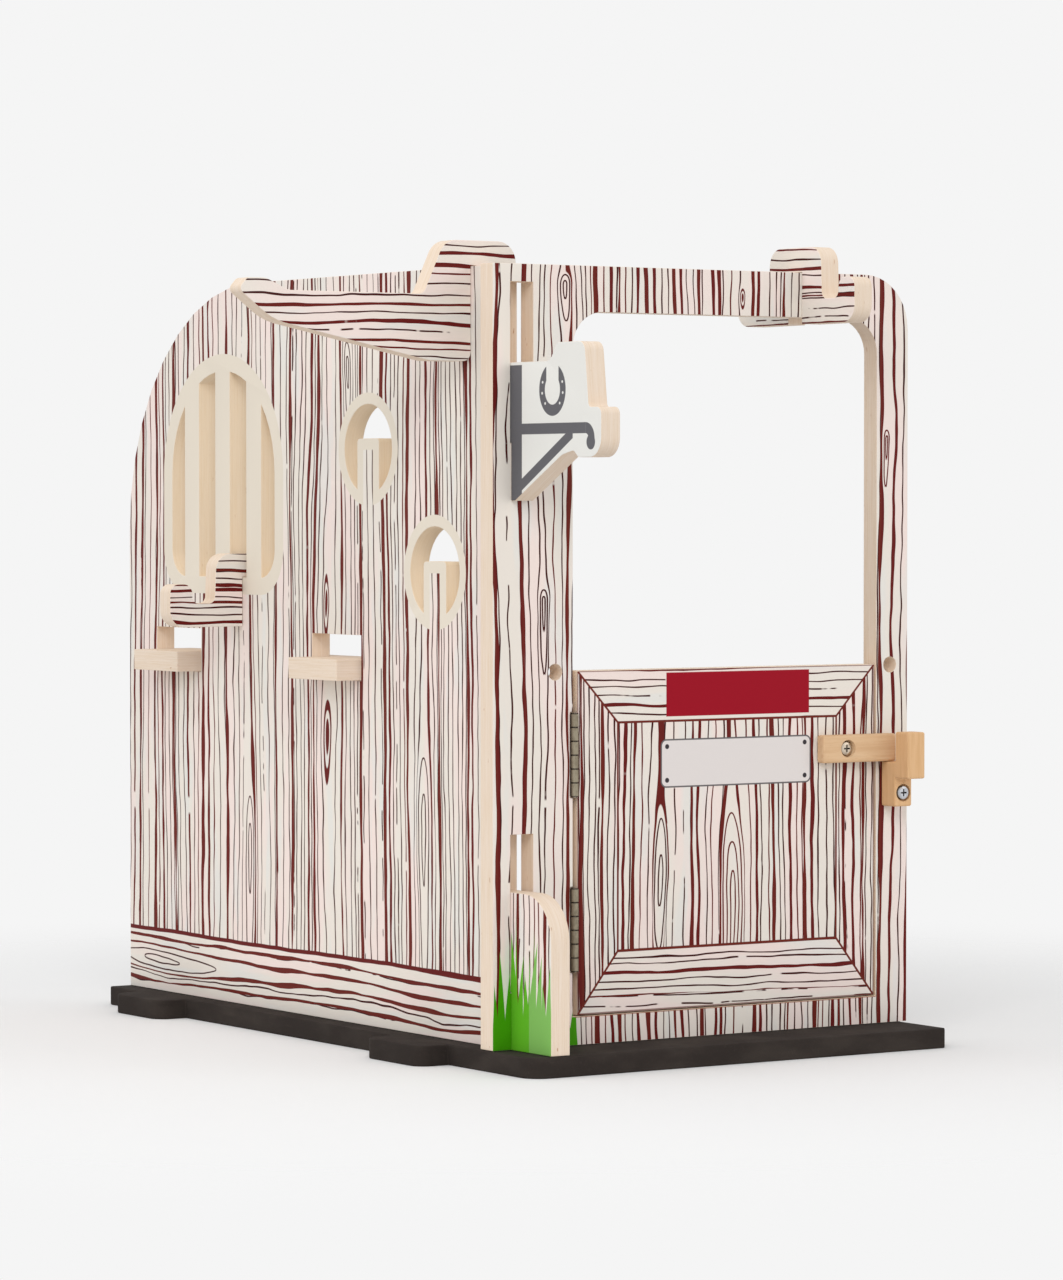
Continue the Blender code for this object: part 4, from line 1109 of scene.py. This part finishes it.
@dataclass(frozen=True)
class HingeSteel(Steel):
    """Hinge steel: dark lines between the knuckles and painted shade in the corner behind them.
    """

    lower: float = 50.0
    upper: float = 168.0
    length: float = 56.0
    knuckles: int = 6
    seam_half: float = 0.5
    # Depths in front of the panel over which the painted shade behind the barrel comes in
    corner: tuple[float, float] = (-2.6, -0.2)
    seam_and_shade: Colour = srgb(34, 29, 26)

    def mark(self, sheet: Sheet, colour: Any,
             place: tuple[Value, Value, Value]) -> bpy.types.NodeSocket:
        """Draw the knuckles' gaps and paint shade beside the barrel, darker towards the panel."""
        high = place[2] > (self.lower + self.length + self.upper) / 2
        rise = place[2] - self.lower - high * (self.upper - self.lower)
        pitch = self.length / self.knuckles
        part = rise / pitch
        gap = (0.5 - abs(part - part.floor() - 0.5)) * pitch
        seam = sheet.within(gap, self.seam_half)
        # Painted shade: darker towards the panel's face, in the corner behind the barrel
        corner = sheet.step(place[1], *self.corner) * 0.75
        return sheet.blend(seam.most(corner) * 0.9, colour, self.seam_and_shade)


@dataclass(frozen=True)
class ScrewSteel(Steel):
    """Screw steel: bright, with painted shade down in the driver's cross and under the head's
    rim.
    """

    middle: tuple[float, float] = (0.0, 0.0)
    front: float = 0.0
    cross_reach: float = 3.6
    cross_rise: tuple[float, float] = (0.35, 0.8)
    rim_shade_rise: tuple[float, float] = (4.3, 4.9)
    shade: Colour = srgb(38, 34, 32)

    def mark(self, sheet: Sheet, colour: Any,
             place: tuple[Value, Value, Value]) -> bpy.types.NodeSocket:
        """Paint shade into the cross and along the line under the head's rim."""
        side = place[0] - self.middle[0]
        over = place[2] - self.middle[1]
        radius = side.span(over)
        # Painted shade: darker down in the driver's cross, by its depth behind the head's front
        inner = sheet.within(radius, self.cross_reach)
        depth = place[1] - self.front
        deep = sheet.step(depth, *self.cross_rise) * inner
        # Painted shade in the crease under the head's rim
        rim = sheet.step(radius, *self.rim_shade_rise) * 0.7
        return sheet.blend(deep.most(rim) * 0.92, colour, self.shade)


def dress(node: str, material: bpy.types.Material) -> None:
    """Give a CAD node its finish.

    Args:
        node: The node's name.
        material: The finish.
    """
    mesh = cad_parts[node].data
    mesh.materials.clear()
    mesh.materials.append(material)
    LOG.info("%s: %s", node, material.name)


@dataclass(frozen=True)
class EasedPiece:
    """A piece modelled with its sharp edges rubbed down, in place of its CAD node."""

    name: str
    node: str
    body: str
    slot: str
    width: float = 0.45 * MM
    sharp: float = math.radians(40)
    smooth: float = math.radians(20)

    def build(self, material: bpy.types.Material) -> bpy.types.Object:
        """Model the piece.

        Args:
            material: Its finish.

        Returns:
            The piece.
        """
        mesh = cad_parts[self.node].data.copy()
        mesh.materials.clear()
        mesh.materials.append(material)
        piece = bpy.data.objects.new(self.name, mesh)
        bpy.context.scene.collection.objects.link(piece)
        bpy.ops.object.select_all(action="DESELECT")
        bpy.context.view_layer.objects.active = piece
        piece.select_set(True)
        bpy.ops.object.mode_set(mode="EDIT")
        bpy.ops.mesh.select_mode(type="VERT")
        bpy.ops.mesh.select_all(action="SELECT")
        bpy.ops.mesh.remove_doubles(threshold=0.01 * MM)
        bpy.ops.mesh.dissolve_limited(angle_limit=math.radians(1))
        bpy.ops.mesh.select_all(action="DESELECT")
        bpy.ops.mesh.select_mode(type="EDGE")
        if self.width > 0:
            bpy.ops.mesh.edges_select_sharp(sharpness=self.sharp)
            bpy.ops.mesh.bevel(offset=self.width, segments=2, affect="EDGES")
        bpy.ops.object.mode_set(mode="OBJECT")
        bpy.ops.object.shade_smooth_by_angle(angle=self.smooth)
        piece.select_set(False)
        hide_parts(self.node)
        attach(piece, self.body)
        LOG.info("%s: %d faces for %s", self.name, len(piece.data.polygons), self.node)
        return piece


@dataclass
class Stall:
    """What stands still: the mat, both panels and the ledge."""

    front_print: FrontPanelPrint = field(default_factory=FrontPanelPrint)
    wall_print: SideWallPrint = field(default_factory=SideWallPrint)
    foam: Foam = field(default_factory=Foam)
    ledge_bottom: float = 241.3
    mat_easing: float = 0.9 * MM

    def build(self) -> None:
        """Dress the stall."""
        mat = EasedPiece("soft_foam_mat", "foam_mat", "stall", "foam", self.mat_easing)
        mat.build(self.foam.finish())
        for name, node, slot, finish in (
            ("printed_portal", "front_panel", "printed_front", self.front_print.finish()),
            ("printed_wall", "side_wall", "printed_side", self.wall_print.finish()),
            ("inner_ledge", "wall_ledge", "bare_ply", self.bare_ledge()),
        ):
            EasedPiece(name, node, "stall", slot).build(finish)

    def bare_ledge(self) -> bpy.types.Material:
        """Make the ledge's bare plywood."""
        sheet = Sheet("bare_plywood")
        place = sheet.point()
        colour = BarePly(self.ledge_bottom, Facing.UP).draw(sheet, place)
        return sheet.shine(colour, PLY_ROUGHNESS, gloss=PLY_GLOSS)


@dataclass
class HalfDoor:
    """The half-door with its hinges, latch bar and keeper."""

    door_print: DoorPrint = field(default_factory=DoorPrint)
    bar_reach: float = 2.7 * MM
    bar_tail: float = 0.8 * MM
    bar_plain_half: float = 20 * MM
    worn_and_shaded: HingeSteel = HingeSteel(
        "worn_and_shaded_hinge_steel", srgb(152, 143, 124), srgb(112, 100, 84),
        roughness=0.44, grime=0.45,
    )
    pin: Steel = Steel(
        "hinge_pin_steel", srgb(176, 164, 150), srgb(104, 92, 80),
        roughness=0.34, grime=0.7,
    )
    warm_zinc: ScrewSteel = ScrewSteel(
        "warm_zinc_screw", srgb(208, 194, 176), srgb(140, 126, 108),
        roughness=0.26, grime=0.4, middle=(290.0, 194.3), front=-6.7,
    )
    cool_zinc: ScrewSteel = ScrewSteel(
        "cool_zinc_screw", srgb(198, 200, 204), srgb(128, 130, 134),
        roughness=0.26, grime=0.4, middle=(332.5, 162.6), front=-16.4,
    )

    def build(self) -> None:
        """Dress the door and what holds and shuts it."""
        eased = EasedPiece("toy_half_door", "half_door", "door", "printed_door")
        eased.build(self.door_print.finish())
        self.make_latch_bar()
        keeper = Beech("beech_keeper", Facing.UP, srgb(228, 186, 140), srgb(220, 176, 128))
        dress("latch_keeper", keeper.finish())
        dress("latch_screw", self.warm_zinc.finish())
        dress("keeper_screw", self.cool_zinc.finish())
        worn_and_shaded, pin = self.worn_and_shaded.finish(), self.pin.finish()
        for hinge in ("lower_hinge", "upper_hinge"):
            for side in ("post", "door"):
                dress(f"{hinge}_{side}_leaf", worn_and_shaded)
                for index in (1, 2):
                    dress(f"{hinge}_{side}_screw_{index}", worn_and_shaded)
            dress(f"{hinge}_pin", pin)

    def make_latch_bar(self) -> None:
        """Model the latch bar so that its right end lies fully behind the keeper's ear."""
        plain = EasedPiece("turning_latch_bar", "latch_bar", "latch", "beech", width=0.0)
        bar = plain.build(Beech("beech_latch_bar", Facing.ACROSS).finish())
        middle = sum(corner.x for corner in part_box("latch_bar")) / 2
        for vertex in bar.data.vertices:
            side = vertex.co.x - middle
            if abs(side) > self.bar_plain_half:
                vertex.co.x += self.bar_reach if side > 0 else -self.bar_tail


@dataclass
class LoosePieces:
    """The pieces that lift off: the rug rail and both bridle hooks."""

    rail: LoosePiecePrint = LoosePiecePrint(
        "printed_rug_rail", Facing.DEPTH, start=48.7,
        grain=Grain(board=25.0, pitch=6.6, thick=1.9, thin=1.05, seed=2.9, wander=5.0),
    )
    front_hook: LoosePiecePrint = LoosePiecePrint(
        "printed_front_hook", Facing.ACROSS, start=255.0,
        grain=Grain(board=20.0, pitch=6.0, thick=2.1, thin=1.05, seed=14.2, wander=6.0),
    )
    window_hook: LoosePiecePrint = LoosePiecePrint(
        "printed_window_hook", Facing.DEPTH, start=356.25,
        grain=Grain(board=23.0, pitch=6.2, thick=2.3, thin=1.1, seed=17.3, wander=6.0),
    )

    def build(self) -> None:
        """Dress the loose pieces."""
        for body, node, slot, look in (
            ("rug_rail", "rug_rail", "printed_rail", self.rail),
            ("front_hook", "front_bridle_hook", "printed_hook", self.front_hook),
            ("window_hook", "window_bridle_hook", "printed_hook", self.window_hook),
        ):
            EasedPiece(f"lift_off_{body}", node, body, slot).build(look.finish())


@dataclass(frozen=True)
class Softbox:
    """A square soft lamp: its name, place, side in metres and power in watts."""

    name: str
    place: tuple[float, float, float]
    size: float
    power: float


@dataclass
class Studio:
    """The pale floor and backdrop, the soft lamps and the camera."""

    camera_place: tuple[float, float, float] = (-1.9342, -2.9600, 0.3792)
    heading: tuple[float, float] = (0.5506, 0.8347)
    tilt: float = math.radians(-1.6)
    lens: float = 137.08
    sensor: float = 36.0
    farthest: float = 50.0
    backdrop: Colour = srgb(245, 245, 245)
    floor_colour: Colour = srgb(240, 240, 240)
    floor_reach: float = 1.4
    floor_fade: tuple[float, float] = (0.36, 1.0)
    world_light: float = 0.62
    lamp_target: tuple[float, float, float] = (0.0, 0.0, 0.25)
    lamps: tuple[Softbox, ...] = (
        Softbox("key_softbox", (-1.7, -2.3, 2.1), 1.6, 34.0),
        Softbox("fill_softbox", (1.9, -2.2, 1.2), 1.8, 12.0),
        Softbox("top_softbox", (-0.3, 0.4, 2.6), 1.8, 10.0),
        Softbox("left_softbox", (-2.6, 0.5, 1.3), 1.8, 13.0),
    )

    def build(self) -> None:
        """Set the stage."""
        self.make_camera()
        self.make_world()
        self.make_floor()
        for softbox in self.lamps:
            self.hang(softbox)

    def make_camera(self) -> None:
        """Make the camera at the photograph's viewing angle."""
        data = bpy.data.cameras.new("camera")
        data.lens = self.lens
        data.sensor_width = self.sensor
        data.sensor_fit = "AUTO"
        data.clip_end = self.farthest
        camera = bpy.data.objects.new("camera", data)
        bpy.context.scene.collection.objects.link(camera)
        level = math.cos(self.tilt)
        ahead = Vector((self.heading[0] * level, self.heading[1] * level, math.sin(self.tilt)))
        turn = ahead.to_track_quat("-Z", "Y").to_matrix().to_4x4()
        camera.matrix_world = Matrix.Translation(Vector(self.camera_place)) @ turn
        bpy.context.scene.camera = camera
        LOG.info("camera: %.1f mm lens", self.lens)

    def make_world(self) -> None:
        """Light all round softly, and show the plain backdrop behind."""
        world = bpy.data.worlds.new("studio")
        world.use_nodes = True
        bpy.context.scene.world = world
        tree = world.node_tree
        tree.nodes.clear()
        seen = self.seen_share(tree)
        light = tree.nodes.new("ShaderNodeBackground")
        light.inputs[0].default_value = (1.0, 1.0, 1.0, 1.0)
        light.inputs[1].default_value = self.world_light
        shown = tree.nodes.new("ShaderNodeBackground")
        shown.inputs[0].default_value = (*self.backdrop, 1.0)
        mixed = tree.nodes.new("ShaderNodeMixShader")
        tree.links.new(seen, mixed.inputs[0])
        tree.links.new(light.outputs[0], mixed.inputs[1])
        tree.links.new(shown.outputs[0], mixed.inputs[2])
        out = tree.nodes.new("ShaderNodeOutputWorld")
        tree.links.new(mixed.outputs[0], out.inputs[0])

    @staticmethod
    def seen_share(tree: bpy.types.NodeTree) -> bpy.types.NodeSocket:
        """Give 1 for rays from the camera, in a gloss and through glass.

        Args:
            tree: The tree to add the nodes to.

        Returns:
            The share.
        """
        path = tree.nodes.new("ShaderNodeLightPath")
        total = path.outputs["Is Camera Ray"]
        for ray in ("Is Glossy Ray", "Is Transmission Ray"):
            added = tree.nodes.new("ShaderNodeMath")
            added.operation = "MAXIMUM"
            tree.links.new(total, added.inputs[0])
            tree.links.new(path.outputs[ray], added.inputs[1])
            total = added.outputs[0]
        return total

    def make_floor(self) -> None:
        """Make the pale floor, which fades into the backdrop with distance."""
        bpy.ops.mesh.primitive_circle_add(
            vertices=96, radius=self.floor_reach, fill_type="NGON", location=(0, 0, 0)
        )
        floor = bpy.context.object
        floor.name = "pale_floor"
        sheet = Sheet("pale_floor")
        place = sheet.node("ShaderNodeTexCoord").outputs["Object"]
        far = sheet.node("ShaderNodeVectorMath", {"operation": "LENGTH"}, {0: place})
        fade = sheet.step(Value(sheet, far.outputs["Value"]), *self.floor_fade)
        matt = sheet.node("ShaderNodeBsdfDiffuse", {}, {"Color": self.floor_colour})
        clear = sheet.node("ShaderNodeBsdfTransparent")
        mixed = sheet.node("ShaderNodeMixShader", {}, {0: fade})
        sheet.tree.links.new(matt.outputs[0], mixed.inputs[1])
        sheet.tree.links.new(clear.outputs[0], mixed.inputs[2])
        out = sheet.node("ShaderNodeOutputMaterial")
        sheet.tree.links.new(mixed.outputs[0], out.inputs[0])
        floor.data.materials.append(sheet.material)
        LOG.info("floor: fades out at %.1f m", self.floor_reach)

    def hang(self, softbox: Softbox) -> None:
        """Hang one soft lamp that looks at the stall's middle.

        Args:
            softbox: The lamp.
        """
        data = bpy.data.lights.new(softbox.name, "AREA")
        data.shape = "SQUARE"
        data.size = softbox.size
        data.energy = softbox.power
        lamp = bpy.data.objects.new(softbox.name, data)
        bpy.context.scene.collection.objects.link(lamp)
        spot = Vector(softbox.place)
        aim = Vector(self.lamp_target) - spot
        turn = aim.to_track_quat("-Z", "Y").to_matrix().to_4x4()
        lamp.matrix_world = Matrix.Translation(spot) @ turn
        LOG.info("%s: %.0f W", softbox.name, softbox.power)


def main() -> None:
    """Dress the stable and set the stage."""
    logging.basicConfig(level=logging.INFO, format="%(name)s: %(message)s")
    bpy.ops.object.select_all(action="DESELECT")
    bpy.context.scene.view_settings.view_transform = "Standard"
    Studio().build()
    Stall().build()
    HalfDoor().build()
    LoosePieces().build()


if __name__ == "__main__":
    main()
